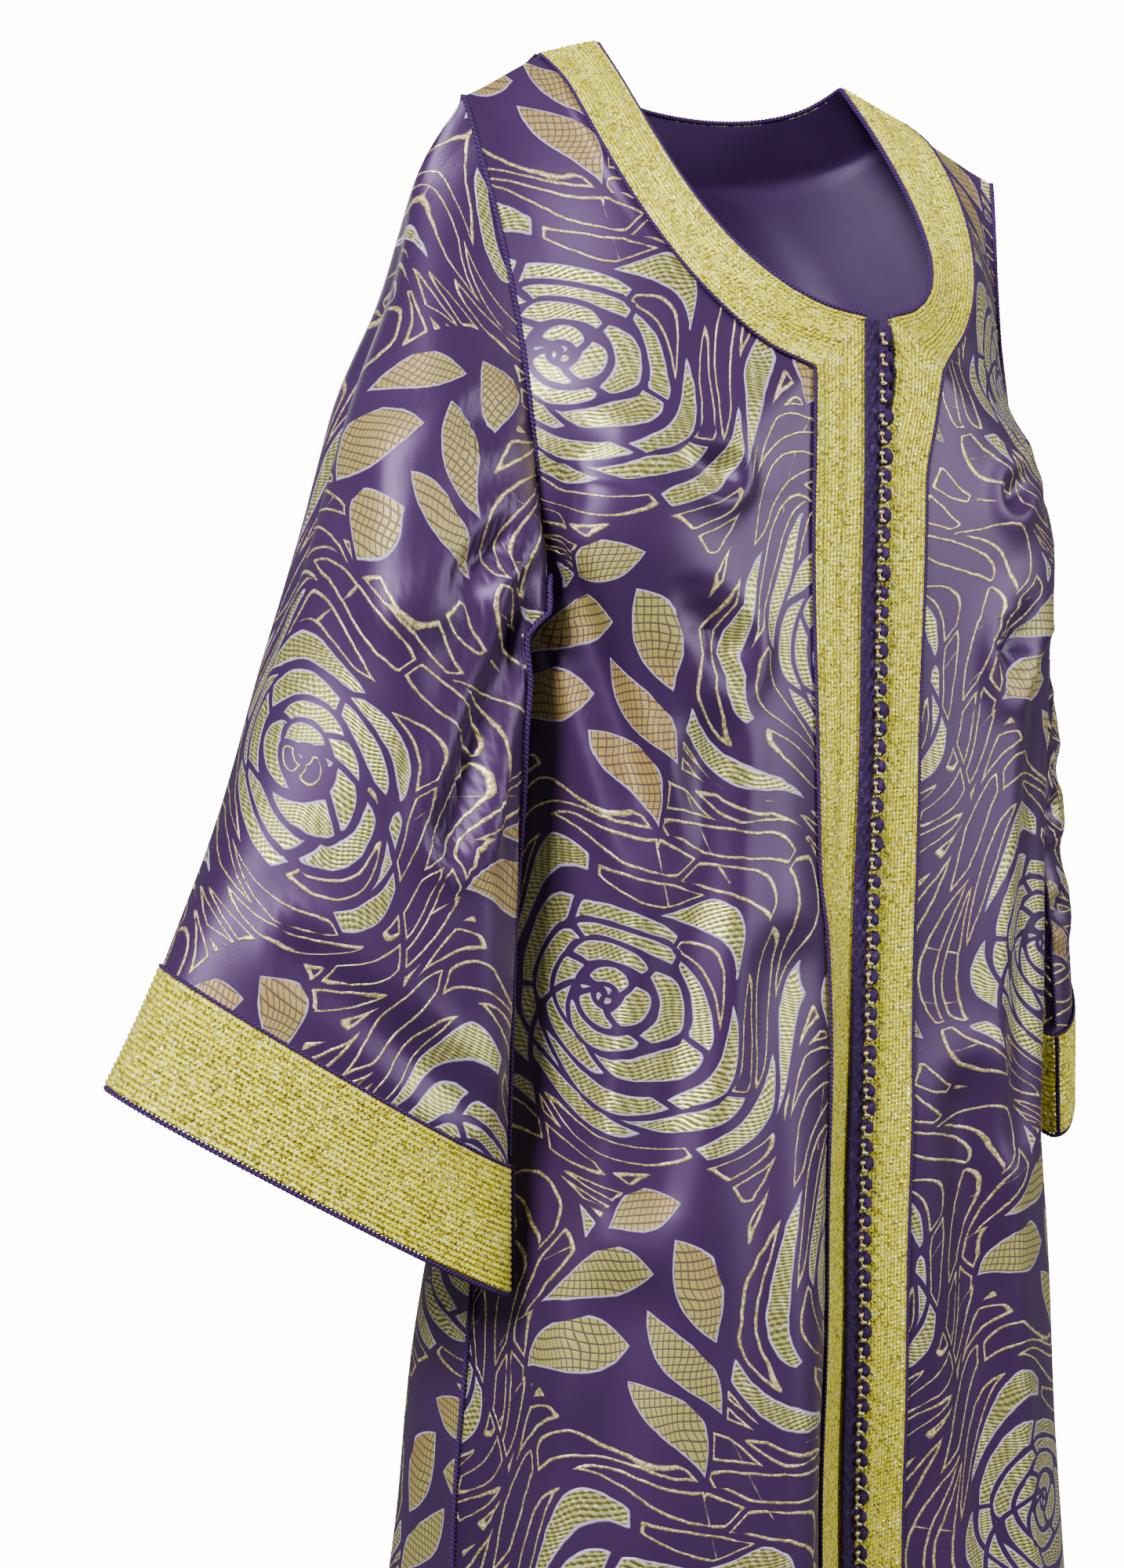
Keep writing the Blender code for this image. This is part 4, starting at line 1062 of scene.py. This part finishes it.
# The back's cut starts elsewhere on the cloth than the fronts' do, and the sleeves' to both sides of them
BACK_CUT_FROM = (0.105, 0.130)
SLEEVE_CUT_OUT, SLEEVE_CUT_UP = 0.42, 0.06
NECK_SPREAD = 0.7
back_flats, grids = [], []
for side in (RIGHT, LEFT):
    under, below = coarse_backs[side]
    start = first_flat(below, side)
    start[NECK_ROWS:, 0, 0] = 0.0
    start[NECK_ROWS:, 0, 1] = straight_down(below[NECK_ROWS:, 0])
    flat = cut_places(below, start, (slice(NECK_ROWS, None), 0), PANEL_STEPS)
    under_start = np.repeat(flat[:mitre + 1:ROW_STEPS, :1], BAND_COLUMNS + 1, axis=1)
    width = np.linalg.norm(under - under[:, -1:], axis=-1)
    under_start += width[..., None] * (-side * NECK_SPREAD, NECK_SPREAD)
    under_flat = cut_places(under, under_start, (slice(None), BAND_COLUMNS), PANEL_STEPS)
    back_flats += [under_flat, flat]
    grids += [(points, ways, places + BACK_CUT_FROM)
              for points, ways, places in zip(backs[side], back_ways[side], (under_flat, flat))]
cuts["back"] = flat_size(*back_flats)
pieces["back"] = cloth_wall("back_cloth", grids)
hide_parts("back")


def from_seam(steps):
    """Return a sleeve's columns from its seam underneath over the top and back to it."""
    half = ARMHOLE_ROWS * steps
    return [*range(half, 2 * half), *range(half + 1)]


for side in (RIGHT, LEFT):
    name = f"sleeve_{SIDE_NAME[side]}"
    coarse = coarse_sleeves[side][:, from_seam(1)]
    top = ARMHOLE_ROWS
    over = lengths_over(coarse)
    down = np.repeat(straight_down(coarse[:, top])[:, None], coarse.shape[1], axis=1)
    start = np.stack(((over[:, top:top + 1] - over) * side, down), axis=-1)
    flat = cut_places(coarse, start, (slice(None), top), (RING_STEPS, ROUND_STEPS))
    cuts[name] = flat_size(flat)
    columns = from_seam(ROUND_STEPS)
    flat = flat + (side * SLEEVE_CUT_OUT, SLEEVE_CUT_UP)
    grid = sleeves[side][:, columns], sleeve_ways[side][:, columns], flat
    pieces[name] = cloth_wall(f"{name}_cloth", [grid])
    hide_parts(name)

# Gold bands. Woven braid of gold thread in close ribs, 38 mm wide round the neck and down both fronts and
# a deeper one round each cuff, sewn flat on the brocade. Neck and front bands meet in a mitre.
LAID_ON = 0.0003
BAND = 0.0018
RIB_BOTTOM = 0.0009
RIBS = 13
CUFF_RIBS = 20
CUFF_WIDTH = 0.066
POINTS_A_RIB = 4
RIB_FULL = 0.7
STITCH_PITCH, STITCH_LEAN, STITCH_RELIEF = 0.0026, 0.0030, 0.00055
SEAM_GAP = 0.0003
# The gold's own two tones; the groove colour is painted shade, the glint a painted highlight, and the shade is
# painted shade for dark specks
GOLD = ((0.680, 0.590, 0.016, 1.0), (1.000, 0.950, 0.055, 1.0))
GOLD_GROOVE_SHADE, GOLD_GLINT, GOLD_SHADE = (
    (0.230, 0.200, 0.010, 1.0), (1.000, 1.000, 0.420, 1.0), (0.260, 0.215, 0.012, 1.0))


def flat_places(across, along):
    """Return the flat place of each point of a grid, from how far across and along its lines lie."""
    return np.stack(np.broadcast_arrays(np.asarray(across)[None, :], np.asarray(along)[:, None]), axis=-1)


def rolled(name, sections, material, places, closed=False):
    """Make a piece from rings of points along it, with the flat place of each point."""
    bm = bmesh.new()
    grid_of_faces(bm, sections, places, bm.loops.layers.uv.new("cut"))
    bmesh.ops.remove_doubles(bm, verts=bm.verts[:], dist=1e-7)
    if not closed:
        bmesh.ops.holes_fill(bm, edges=[edge for edge in bm.edges if edge.is_boundary])
    return on_garment(name, bm, [material], 70)


def band_finish(name, rib_width):
    """Return the gold band's close ribs of glittering chain stitch, with painted shade in the grooves and in
    scattered specks, and painted glints.
    """
    finish = Finish(name, Specular_IOR_Level=0.45, Specular_Tint=(1.0, 0.95, 0.62, 1.0))
    uv, across, along = finish.cut()
    lean = abs((across / rib_width).math("FRACT") - 0.5)
    stitch = (along + lean * STITCH_LEAN).wave(STITCH_PITCH)
    groove = finish.above(lean, 0.36, 0.12)
    spark, tone, distance = finish.threads(uv, 820.0)
    patch = finish.grain(uv, 40.0, 2.0)
    gold = finish.mix(tone, *GOLD)
    # Painted shade darkens the grooves between the ribs; bright specks are painted glints and dark specks
    # painted shade
    gold = finish.mix(groove * (0.50 + patch * 0.4), gold, GOLD_GROOVE_SHADE)
    gold = finish.mix(finish.above(spark, 0.84, 0.03), gold, GOLD_GLINT)
    gold = finish.mix(finish.above(spark, 0.18, 0.03), GOLD_SHADE, gold)
    rough = 0.50 - finish.above(spark, 0.78, 0.04) * 0.25 + (tone - 0.5) * 0.2
    height = (1.0 - distance * 1.2) * 0.6 + stitch * 0.25 - groove * 0.5
    finish.shade(Base_Color=gold, Metallic=0.10 + spark * 0.26, Roughness=rough)
    finish.raised(height, STITCH_RELIEF)
    return finish.material


gold_bands = {ribs: band_finish(name, width / ribs)
              for name, width, ribs in (("gold band", BAND_WIDTH, RIBS), ("gold cuff", CUFF_WIDTH, CUFF_RIBS))}


def band_laid_on(name, points, ways, ribs, closed=False):
    stops = np.linspace(0.0, points.shape[1] - 1, ribs * POINTS_A_RIB + 1)
    on_cloth, out = across_curve(points, stops), unit(across_curve(ways, stops))
    rib = np.abs(np.sin(np.arange(len(stops)) * math.pi / POINTS_A_RIB))**RIB_FULL
    face = on_cloth + out * (LAID_ON + RIB_BOTTOM + (BAND - RIB_BOTTOM) * rib)[None, :, None]
    under = (on_cloth + out * LAID_ON)[:, [-1, 0]]
    width = np.linalg.norm(np.diff(on_cloth, axis=1), axis=-1).sum(axis=1).mean()
    over = np.concatenate((np.linspace(0.0, width, len(stops)), (width, 0.0, 0.0)))
    places = flat_places(over, run_along(on_cloth[:, len(stops) // 2]))
    piece = rolled(f"{name}_woven", np.concatenate((face, under), axis=1), gold_bands[ribs], places, closed)
    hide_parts(name)
    corners = np.cross(on_cloth[1:, 1:] - on_cloth[:-1, :-1], on_cloth[1:, :-1] - on_cloth[:-1, 1:])
    widest = np.linalg.norm(on_cloth[:, -1] - on_cloth[:, 0], axis=-1).max()


def drawn_back(points, first, last):
    """Return the strip with its first or last row drawn back by half a seam's gap."""
    points = points.copy()
    if first:
        points[0] += unit(points[1] - points[0]) * SEAM_GAP / 2
    if last:
        points[-1] += unit(points[-2] - points[-1]) * SEAM_GAP / 2
    return points


def joined(right, left):
    """Return one line or strip of the right side's and the left side's, which meet in the middle."""
    return np.concatenate((right, left[::-1][1:]))


cuff_row = (SLEEVE_RINGS - CUFF_RINGS) * RING_STEPS
for side in (RIGHT, LEFT):
    name = SIDE_NAME[side]
    strip, ways = fronts[side][:, :last_band + 1], front_ways[side][:, :last_band + 1]
    band_laid_on(f"neck_band_{name}", drawn_back(strip[:mitre + 1], True, True), ways[:mitre + 1], RIBS)
    band_laid_on(f"front_band_{name}", drawn_back(strip[mitre:], True, False), ways[mitre:], RIBS)
    band_laid_on(f"cuff_band_{name}", sleeves[side][cuff_row:].swapaxes(0, 1),
                 sleeve_ways[side][cuff_row:].swapaxes(0, 1), CUFF_RIBS, closed=True)
under_backs = [backs[side][0] for side in (RIGHT, LEFT)]
under_ways = [back_ways[side][0] for side in (RIGHT, LEFT)]
band_laid_on("neck_band_back", drawn_back(joined(*under_backs), True, True), joined(*under_ways), RIBS)

# Purple cords. Two-strand cord laid along every edge and seam and sewn on with small stitches: on the
# neck's and the left opening's edges, along the bands, round the armholes and cuffs and down the seams.
EDGE_CORD_RADIUS = 0.0017
THIN_CORD_RADIUS = 0.0012
CORD_CLEARANCE = -0.0002
CORD_SIDES = 8
STRAND_DEPTH = 0.34
TWIST_LENGTH = 0.0052
RING_PITCH = 0.0013
FIBRE_LENGTH = 0.0009
# The cord's colours: painted shade for the valleys between its strands, and its own violet on them
CORD_VALLEY_SHADE = ((0.010, 0.002, 0.024, 1.0), (0.016, 0.003, 0.038, 1.0))
CORD_BRIGHT = ((0.038, 0.009, 0.090, 1.0), (0.062, 0.018, 0.135, 1.0))


def beside(edge, inside, ways, out, up):
    """Return a line of points beside an edge of the cloth, out from it and up from its surface."""
    along = unit(np.gradient(edge, axis=0))
    away = edge - inside
    away = unit(away - along * (away * along).sum(axis=1, keepdims=True))
    return edge + away * out + ways * up


def cord_finish(name):
    """Return the twisted cord's dull violet thread, with painted shade between its strands."""
    finish = Finish(name, Specular_IOR_Level=0.25, Sheen_Weight=0.04, Sheen_Tint=VIOLET_SHEEN)
    uv, around, along = finish.cut()
    strand = abs((around * math.tau).math("COSINE"))
    fibres = (around * 3.0 + along / FIBRE_LENGTH).wave(1.0)
    patch = finish.grain(uv, 60.0, 2.0)
    deep, bright = finish.mix(patch, *CORD_VALLEY_SHADE), finish.mix(patch, *CORD_BRIGHT)
    # Painted shade darkens the valleys between the two strands
    color = finish.mix(finish.above(strand + fibres * 0.12, 0.55, 0.35), deep, bright)
    finish.shade(Base_Color=color, Roughness=0.62 + fibres * 0.1)
    finish.raised(fibres, 0.00010)
    return finish.material


cord_material = cord_finish("purple cord")


def twisted_cord(name, path, ways, radius, closed=False):
    """Make the twisted cord along a path over the cloth, for the solid cord of the same name."""
    if closed:
        path, ways = (np.concatenate((line, line[:1])) for line in (path, ways))
    run = run_along(path)
    stops = np.linspace(0.0, run[-1], int(run[-1] / RING_PITCH) + 1)
    centres, up = (points_at(stops, run, line) for line in (path, ways))
    along = unit(np.gradient(centres, axis=0))
    turns = run[-1] / TWIST_LENGTH
    if closed:
        along[0] = along[-1] = unit(along[0] + along[-1])
        turns = round(turns)
    over = unit(np.cross(along, up))
    up = np.cross(over, along)
    share = np.arange(CORD_SIDES) / CORD_SIDES
    angle = (share[None, :] + (stops / run[-1] * turns)[:, None])[..., None] * math.tau
    thick = radius * (1.0 - STRAND_DEPTH + STRAND_DEPTH * np.abs(np.cos(share * math.tau)))[None, :, None]
    sections = centres[:, None] + (np.cos(angle) * over[:, None] + np.sin(angle) * up[:, None]) * thick
    if closed:
        sections[-1] = sections[0]
    piece = rolled(f"{name}_twisted", sections, cord_material, flat_places([*share, 1.0], stops), closed)
    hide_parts(name)


# How far the cords' middles lie out from an edge and up from the cloth, how far they are drawn out at the
# mitre and back at their ends, how many columns inside its edge the cloth's own way is taken, and how many
# of the armhole's rows its cord runs down on each face
edge_step = EDGE_CORD_RADIUS + CORD_CLEARANCE
thin_step = THIN_CORD_RADIUS + CORD_CLEARANCE
thin_rise = thin_step + 0.0004
OVER_SEAM = EDGE_CORD_RADIUS + LAID_ON
BAND_TOP = LAID_ON + BAND
ARMHOLE_RISE = 0.4 * EDGE_CORD_RADIUS
MITRE_STRETCH = 1.4
CORD_END, SEAM_CORD_END = 0.0015, 3.2 * EDGE_CORD_RADIUS
INSIDE = 3
ARMHOLE_CORD_ROWS = {FRONT: 11, BACK: 7}


def drawn_in(line, end, by):
    """Draw one end of a line back along itself, in place: 0 for its first point and -1 for its last."""
    line[end] += unit(line[-2 if end else 1] - line[end]) * by
    return line


neck_runs, neck_up, back_runs = [], [], []
for side, under, ways_under in zip((RIGHT, LEFT), under_backs, under_ways):
    points, ways = fronts[side], front_ways[side]
    front_run = beside(points[:mitre + 1, 0], points[:mitre + 1, INSIDE], ways[:mitre + 1, 0], edge_step, 0.0)
    front_run[-1] = points[mitre, 0] + unit(points[mitre, 0] - points[mitre + ROW_STEPS, 0]) * edge_step
    back_run = beside(under[1:, 0], under[1:, INSIDE], ways_under[1:, 0], edge_step, 0.0)
    neck_runs.append(np.concatenate((front_run[::-1], back_run)))
    neck_up.append(np.concatenate((ways[:mitre + 1, 0][::-1], ways_under[1:, 0])))
    back_run = beside(under[:, -1], under[:, -1 - INSIDE], ways_under[:, -1], thin_step, thin_rise)
    back_runs.append(drawn_in(back_run, 0, CORD_END))
twisted_cord("neck_edge_cord", joined(*neck_runs), joined(*neck_up), EDGE_CORD_RADIUS)
points, ways = fronts[LEFT][mitre:], front_ways[LEFT][mitre:, 0]
left_run = drawn_in(beside(points[:, 0], points[:, INSIDE], ways, edge_step, 0.0), 0, 2 * EDGE_CORD_RADIUS)
twisted_cord("front_edge_cord_left", left_run, ways, EDGE_CORD_RADIUS)
for side in (RIGHT, LEFT):
    edge, inside, ways = (grid[side][:, column] for grid, column in (
        (fronts, last_band), (fronts, last_band - INSIDE), (front_ways, last_band)))
    neck_run, down_run = (beside(edge[rows], inside[rows], ways[rows], thin_step, thin_rise)
                          for rows in (slice(mitre), slice(mitre + 1, None)))
    turn = edge[mitre] + unit(edge[mitre] - fronts[side][mitre, 0]) * thin_step * MITRE_STRETCH
    run = np.concatenate((neck_run, [turn + ways[mitre] * thin_rise], down_run))
    twisted_cord(f"band_cord_{SIDE_NAME[side]}", drawn_in(run, 0, CORD_END), ways, THIN_CORD_RADIUS)
twisted_cord("band_cord_back", joined(*back_runs), joined(*(ways[:, -1] for ways in under_ways)),
             THIN_CORD_RADIUS)

under_arm = ARMHOLE_ROWS * ROUND_STEPS
round_arm = [*range(-1 - ARMHOLE_CORD_ROWS[BACK] * ROUND_STEPS, -1),
             *range(ARMHOLE_CORD_ROWS[FRONT] * ROUND_STEPS + 1)]
for side in (RIGHT, LEFT):
    name = SIDE_NAME[side]
    rings, ways = sleeves[side], sleeve_ways[side]
    twisted_cord(f"armhole_cord_{name}", rings[0, round_arm] + ways[0, round_arm] * ARMHOLE_RISE,
                 ways[0, round_arm], EDGE_CORD_RADIUS)
    sewn = slice(RING_STEPS, cuff_row + 1)
    seam = drawn_in(rings[sewn, under_arm] + ways[sewn, under_arm] * OVER_SEAM, -1, SEAM_CORD_END)
    twisted_cord(f"sleeve_seam_cord_{name}", seam, ways[sewn, under_arm], EDGE_CORD_RADIUS)
    on_cuff = rings[cuff_row:, under_arm] + ways[cuff_row:, under_arm] * (BAND_TOP + OVER_SEAM)
    twisted_cord(f"cuff_seam_cord_{name}", on_cuff, ways[cuff_row:, under_arm], EDGE_CORD_RADIUS)
    top = beside(rings[cuff_row, :-1], rings[cuff_row + INSIDE, :-1], ways[cuff_row, :-1], thin_step, thin_step)
    twisted_cord(f"cuff_top_cord_{name}", top, ways[cuff_row, :-1], THIN_CORD_RADIUS, closed=True)
    end = beside(rings[-1, :-1], rings[-1 - INSIDE, :-1], ways[-1, :-1], edge_step, 0.0)
    twisted_cord(f"cuff_edge_cord_{name}", end, ways[-1, :-1], EDGE_CORD_RADIUS, closed=True)
    sewn = slice((ARMHOLE_ROWS + 1) * ROW_STEPS, None)
    side_seam = fronts[side][sewn, -1] + front_ways[side][sewn, -1] * OVER_SEAM
    twisted_cord(f"side_seam_cord_{name}", side_seam, front_ways[side][sewn, -1], EDGE_CORD_RADIUS)

# Braid and buttons. A rough plaited braid runs down the right front's edge and closes the opening, with a
# row of small knotted buttons on it. Each knot lies in a violet loop, with a gold loop and two gold beads
# beside it.
BRAID_WIDTH = 0.0105
BRAID_THICKNESS = 0.0020
BRAID_LEFT_SIDE = 0.0030
BRAID_RISE = 0.0026
BRAID_ACROSS = 12
BRAID_LIFT = 0.024
BRAID_ROW = 0.0016
PLAIT, PLAIT_LENGTH = 0.0052, 0.009
BRAID_VIOLET = ((0.009, 0.002, 0.022, 1.0), (0.034, 0.008, 0.080, 1.0))
BRAID_FLECK = (0.066, 0.024, 0.140, 1.0)
edge_points = fronts[RIGHT][mitre:, 0]


def on_edge(height, across, out):
    """Return a point in front of the opening, across from the middle and out from the right edge."""
    depth = np.interp(-height, -edge_points[:, 2], edge_points[:, 1])
    return np.array((across, depth - out, height))


def braid_finish(name):
    """Return the braid's and the knots' dark violet thread, with a few lighter flecks."""
    finish = Finish(name, Specular_IOR_Level=0.25, Sheen_Weight=0.05, Sheen_Tint=VIOLET_SHEEN)
    place = finish.place()
    tone, _, distance = finish.threads(place, 1500.0, "3D")
    patch = finish.grain(place, 320.0, 2.0, "3D")
    color = finish.mix(tone, *BRAID_VIOLET)
    color = finish.mix(finish.above(patch, 0.64, 0.08), color, BRAID_FLECK)
    finish.shade(Base_Color=color, Roughness=0.60 + tone * 0.2)
    finish.raised(1.0 - distance, 0.00035)
    return finish.material


braid_material = braid_finish("violet braid")
top_edge = edge_points[0, 2]
braid_heights = np.arange(top_edge - 0.001, HEM_HEIGHT, -BRAID_ROW)
across = np.linspace(BRAID_LEFT_SIDE, BRAID_LEFT_SIDE - BRAID_WIDTH, BRAID_ACROSS + 1)
sections = []
for z in braid_heights:
    base = np.array([on_edge(z, x, BRAID_RISE + BRAID_LIFT * body_size("valley_right", z)) for x in across])
    strands = (across / PLAIT + z / PLAIT_LENGTH, across / PLAIT - z / PLAIT_LENGTH)
    plait = np.abs(np.sin(math.pi * strands[0]) * np.sin(math.pi * strands[1]))
    rise = BRAID_THICKNESS * (0.50 + 0.55 * plait**0.6)
    rise[[0, -1]] = 0.35 * BRAID_THICKNESS
    face = base - np.array((0.0, 1.0, 0.0)) * rise[:, None]
    sections.append(np.concatenate((face, base[[-1, 0]])))
sections = np.array(sections)
over = np.concatenate((np.linspace(0.0, BRAID_WIDTH, BRAID_ACROSS + 1), (BRAID_WIDTH, 0.0, 0.0)))
braid = rolled("button_braid_plaited", sections, braid_material, flat_places(over, -braid_heights))
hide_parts("button_braid")

BUTTON_PITCH = 0.0110
BUTTON_CENTRE = 0.0068
BUTTON_RISE, BUTTON_LIFT = 0.0062, 0.05
KNOT_SIZE = Vector((0.0031, 0.0029, 0.0040))
LOOP_RADIUS, LOOP_THREAD = 0.0019, 0.00055
LACE_RADIUS, LACE_THREAD = 0.0044, 0.00085
UPRIGHT = Euler((math.pi / 2, 0.0, 0.0)).to_matrix()
BEADS = ((-0.0047, 0.0012, 0.00165), (-0.0036, -0.0031, 0.00150))

one_knot = bmesh.new()
for vert in bmesh.ops.create_uvsphere(one_knot, u_segments=12, v_segments=8, radius=1.0)["verts"]:
    wrapped = 1.0 + 0.09 * math.sin(vert.co.z * 7.0 + math.atan2(vert.co.y, vert.co.x) * 2.0)
    vert.co.x *= wrapped
    vert.co.y *= wrapped
bmesh.ops.scale(one_knot, verts=one_knot.verts[:], vec=KNOT_SIZE)


def ring(bm, radius, thread, sides, steps):
    """Spin a ring of thread about Z from one small circle, and return its vertices."""
    circle = bmesh.ops.create_circle(bm, segments=sides, radius=thread)["verts"]
    bmesh.ops.rotate(bm, verts=circle, matrix=UPRIGHT)
    bmesh.ops.translate(bm, verts=circle, vec=(radius, 0.0, 0.0))
    edges = list({edge for vert in circle for edge in vert.link_edges})
    before = set(bm.verts) - set(circle)
    bmesh.ops.spin(bm, geom=circle + edges, axis=(0.0, 0.0, 1.0), cent=(0.0, 0.0, 0.0), angle=math.tau,
                   steps=steps, use_merge=True)
    return [vert for vert in bm.verts if vert not in before]


# A violet loop lies on the band round each knot
around_knot = ring(one_knot, LACE_RADIUS, LACE_THREAD, 5, 14)
bmesh.ops.rotate(one_knot, verts=around_knot, matrix=UPRIGHT)
bmesh.ops.translate(one_knot, verts=around_knot, vec=(-0.0004, 0.0018, 0.0))

one_loop = bmesh.new()
ring(one_loop, LOOP_RADIUS, LOOP_THREAD, 4, 10)
bmesh.ops.scale(one_loop, verts=one_loop.verts[:], vec=(1.0, 1.5, 1.0))
bmesh.ops.rotate(one_loop, verts=one_loop.verts[:], matrix=Euler((math.radians(78), 0.0, 0.0)).to_matrix())
bmesh.ops.translate(one_loop, verts=one_loop.verts[:], vec=(-0.0026, -0.0006, -0.0009))
for over, up, radius in BEADS:
    bead = bmesh.ops.create_uvsphere(one_loop, u_segments=8, v_segments=6, radius=radius)["verts"]
    bmesh.ops.translate(one_loop, verts=bead, vec=(over, -0.0004, up))


def repeated(one, places):
    """Return a bmesh with one small part put at each of the places."""
    mesh = bpy.data.meshes.new("one")
    one.to_mesh(mesh)
    one.free()
    whole = bmesh.new()
    for place in places:
        mesh.transform(place)
        whole.from_mesh(mesh)
        mesh.transform(place.inverted())
    bpy.data.meshes.remove(mesh)
    return whole


def turned_at(centre, *angles):
    """Return the matrix that puts a small part at a centre, turned by three angles."""
    return Matrix.Translation(centre) @ Euler(angles).to_matrix().to_4x4()


button_count = int((top_edge - HEM_HEIGHT) / BUTTON_PITCH) - 1
chances = np.random.default_rng(7)
knot_places, bead_places = [], []
for number in range(button_count):
    z = top_edge - BUTTON_PITCH * (number + 1)
    over, up, tip, spin, lean = chances.uniform(-1.0, 1.0, 5)
    centre = Vector(on_edge(z, BUTTON_CENTRE, BUTTON_RISE + BUTTON_LIFT * body_size("valley_left", z)))
    centre += Vector((over * 0.0004, 0.0, up * 0.0005))
    knot_places.append(turned_at(centre, 0.0, tip * 0.25, spin * 0.5))
    bead_places.append(turned_at(centre, 0.0, lean * 0.18, 0.0))

bead_finish = Finish("gold beads", Metallic=0.9)
cloudy = bead_finish.grain(bead_finish.place(), 900.0, 2.0, "3D")
bead_finish.shade(Base_Color=bead_finish.mix(cloudy, (0.55, 0.42, 0.12, 1.0), (0.95, 0.86, 0.45, 1.0)),
                  Roughness=0.22 + cloudy * 0.25)
bead_finish.raised(cloudy, 0.0002)
knot_row = on_garment("button_knots", repeated(one_knot, knot_places), [braid_material])
bead_row = on_garment("button_beads", repeated(one_loop, bead_places), [bead_finish.material])
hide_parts("button_row")

# Stage. A small plain pale floor lies under the hem, in a white studio that only the camera sees. Three soft
# lights stand round the garment, and the camera looks on it from its right.
FLOOR_DROP = 0.06
FLOOR_RADIUS = 1.15
STUDIO_WHITE = (1.0, 1.0, 0.97, 1.0)
LIGHT_ON_GARMENT, LIGHT_SEEN = 0.21, 14.0
bm = bmesh.new()
bmesh.ops.create_circle(bm, cap_ends=True, segments=96, radius=FLOOR_RADIUS)
bmesh.ops.translate(bm, verts=bm.verts[:], vec=(0.0, 0.0, HEM_HEIGHT - FLOOR_DROP))
floor_mesh = bpy.data.meshes.new("floor")
bm.to_mesh(floor_mesh)
bm.free()
floor = bpy.data.objects.new("floor", floor_mesh)
bpy.context.scene.collection.objects.link(floor)
floor_finish = Finish("pale floor", Roughness=0.8, Emission_Color=STUDIO_WHITE, Emission_Strength=1.0)
cloudy = floor_finish.grain(floor_finish.place(), 2.0, 2.0, "3D")
floor_finish.shade(Base_Color=floor_finish.mix(cloudy, (0.78, 0.78, 0.76, 1.0), (0.82, 0.82, 0.80, 1.0)))
floor_mesh.materials.append(floor_finish.material)
floor.visible_diffuse = floor.visible_glossy = False

world = bpy.data.worlds.new("studio")
world.use_nodes = True
studio = world.node_tree
around = studio.nodes["Background"]
around.inputs["Color"].default_value = (1.0, 0.99, 0.96, 1.0)
around.inputs["Strength"].default_value = LIGHT_ON_GARMENT
seen = studio.nodes.new("ShaderNodeBackground")
seen.inputs["Color"].default_value = STUDIO_WHITE
seen.inputs["Strength"].default_value = LIGHT_SEEN
rays, either = studio.nodes.new("ShaderNodeLightPath"), studio.nodes.new("ShaderNodeMixShader")
studio.links.new(rays.outputs["Is Camera Ray"], either.inputs[0])
studio.links.new(around.outputs[0], either.inputs[1])
studio.links.new(seen.outputs[0], either.inputs[2])
studio.links.new(either.outputs[0], studio.nodes["World Output"].inputs["Surface"])
bpy.context.scene.world = world


def soft_light(name, at, size, power, aim=(0.0, 0.0, -0.45)):
    """Put a soft square light at a place, turned to the garment."""
    light = bpy.data.lights.new(name, "AREA")
    light.size = size
    light.energy = power
    lamp = bpy.data.objects.new(name, light)
    lamp.location = at
    lamp.rotation_euler = (Vector(aim) - Vector(at)).to_track_quat("-Z", "Y").to_euler()
    bpy.context.scene.collection.objects.link(lamp)


soft_light("key", (-2.4, -1.2, 1.3), 0.8, 205.0)
soft_light("fill", (2.0, -2.4, 0.3), 1.6, 84.0)
soft_light("behind", (0.8, 2.6, 1.2), 1.8, 20.0)

AZIMUTH, PITCH, DISTANCE = math.radians(37.3), math.radians(3.83), 1.417
AIM_SIDEWAYS, AIM_HEIGHT = -0.108, -0.428
FILM_WIDTH, FOCAL_LENGTH = 36.0, 53.64
forward = Vector((math.sin(AZIMUTH) * math.cos(PITCH), math.cos(AZIMUTH) * math.cos(PITCH), -math.sin(PITCH)))
sideways = Vector((math.cos(AZIMUTH), -math.sin(AZIMUTH), 0.0))
target = sideways * AIM_SIDEWAYS + Vector((0.0, 0.0, AIM_HEIGHT))
lens = bpy.data.cameras.new("camera")
lens.sensor_width = FILM_WIDTH
lens.lens = FOCAL_LENGTH
camera = bpy.data.objects.new("camera", lens)
camera.location = target - forward * DISTANCE
camera.rotation_euler = forward.to_track_quat("-Z", "Y").to_euler()
bpy.context.scene.collection.objects.link(camera)
bpy.context.scene.camera = camera
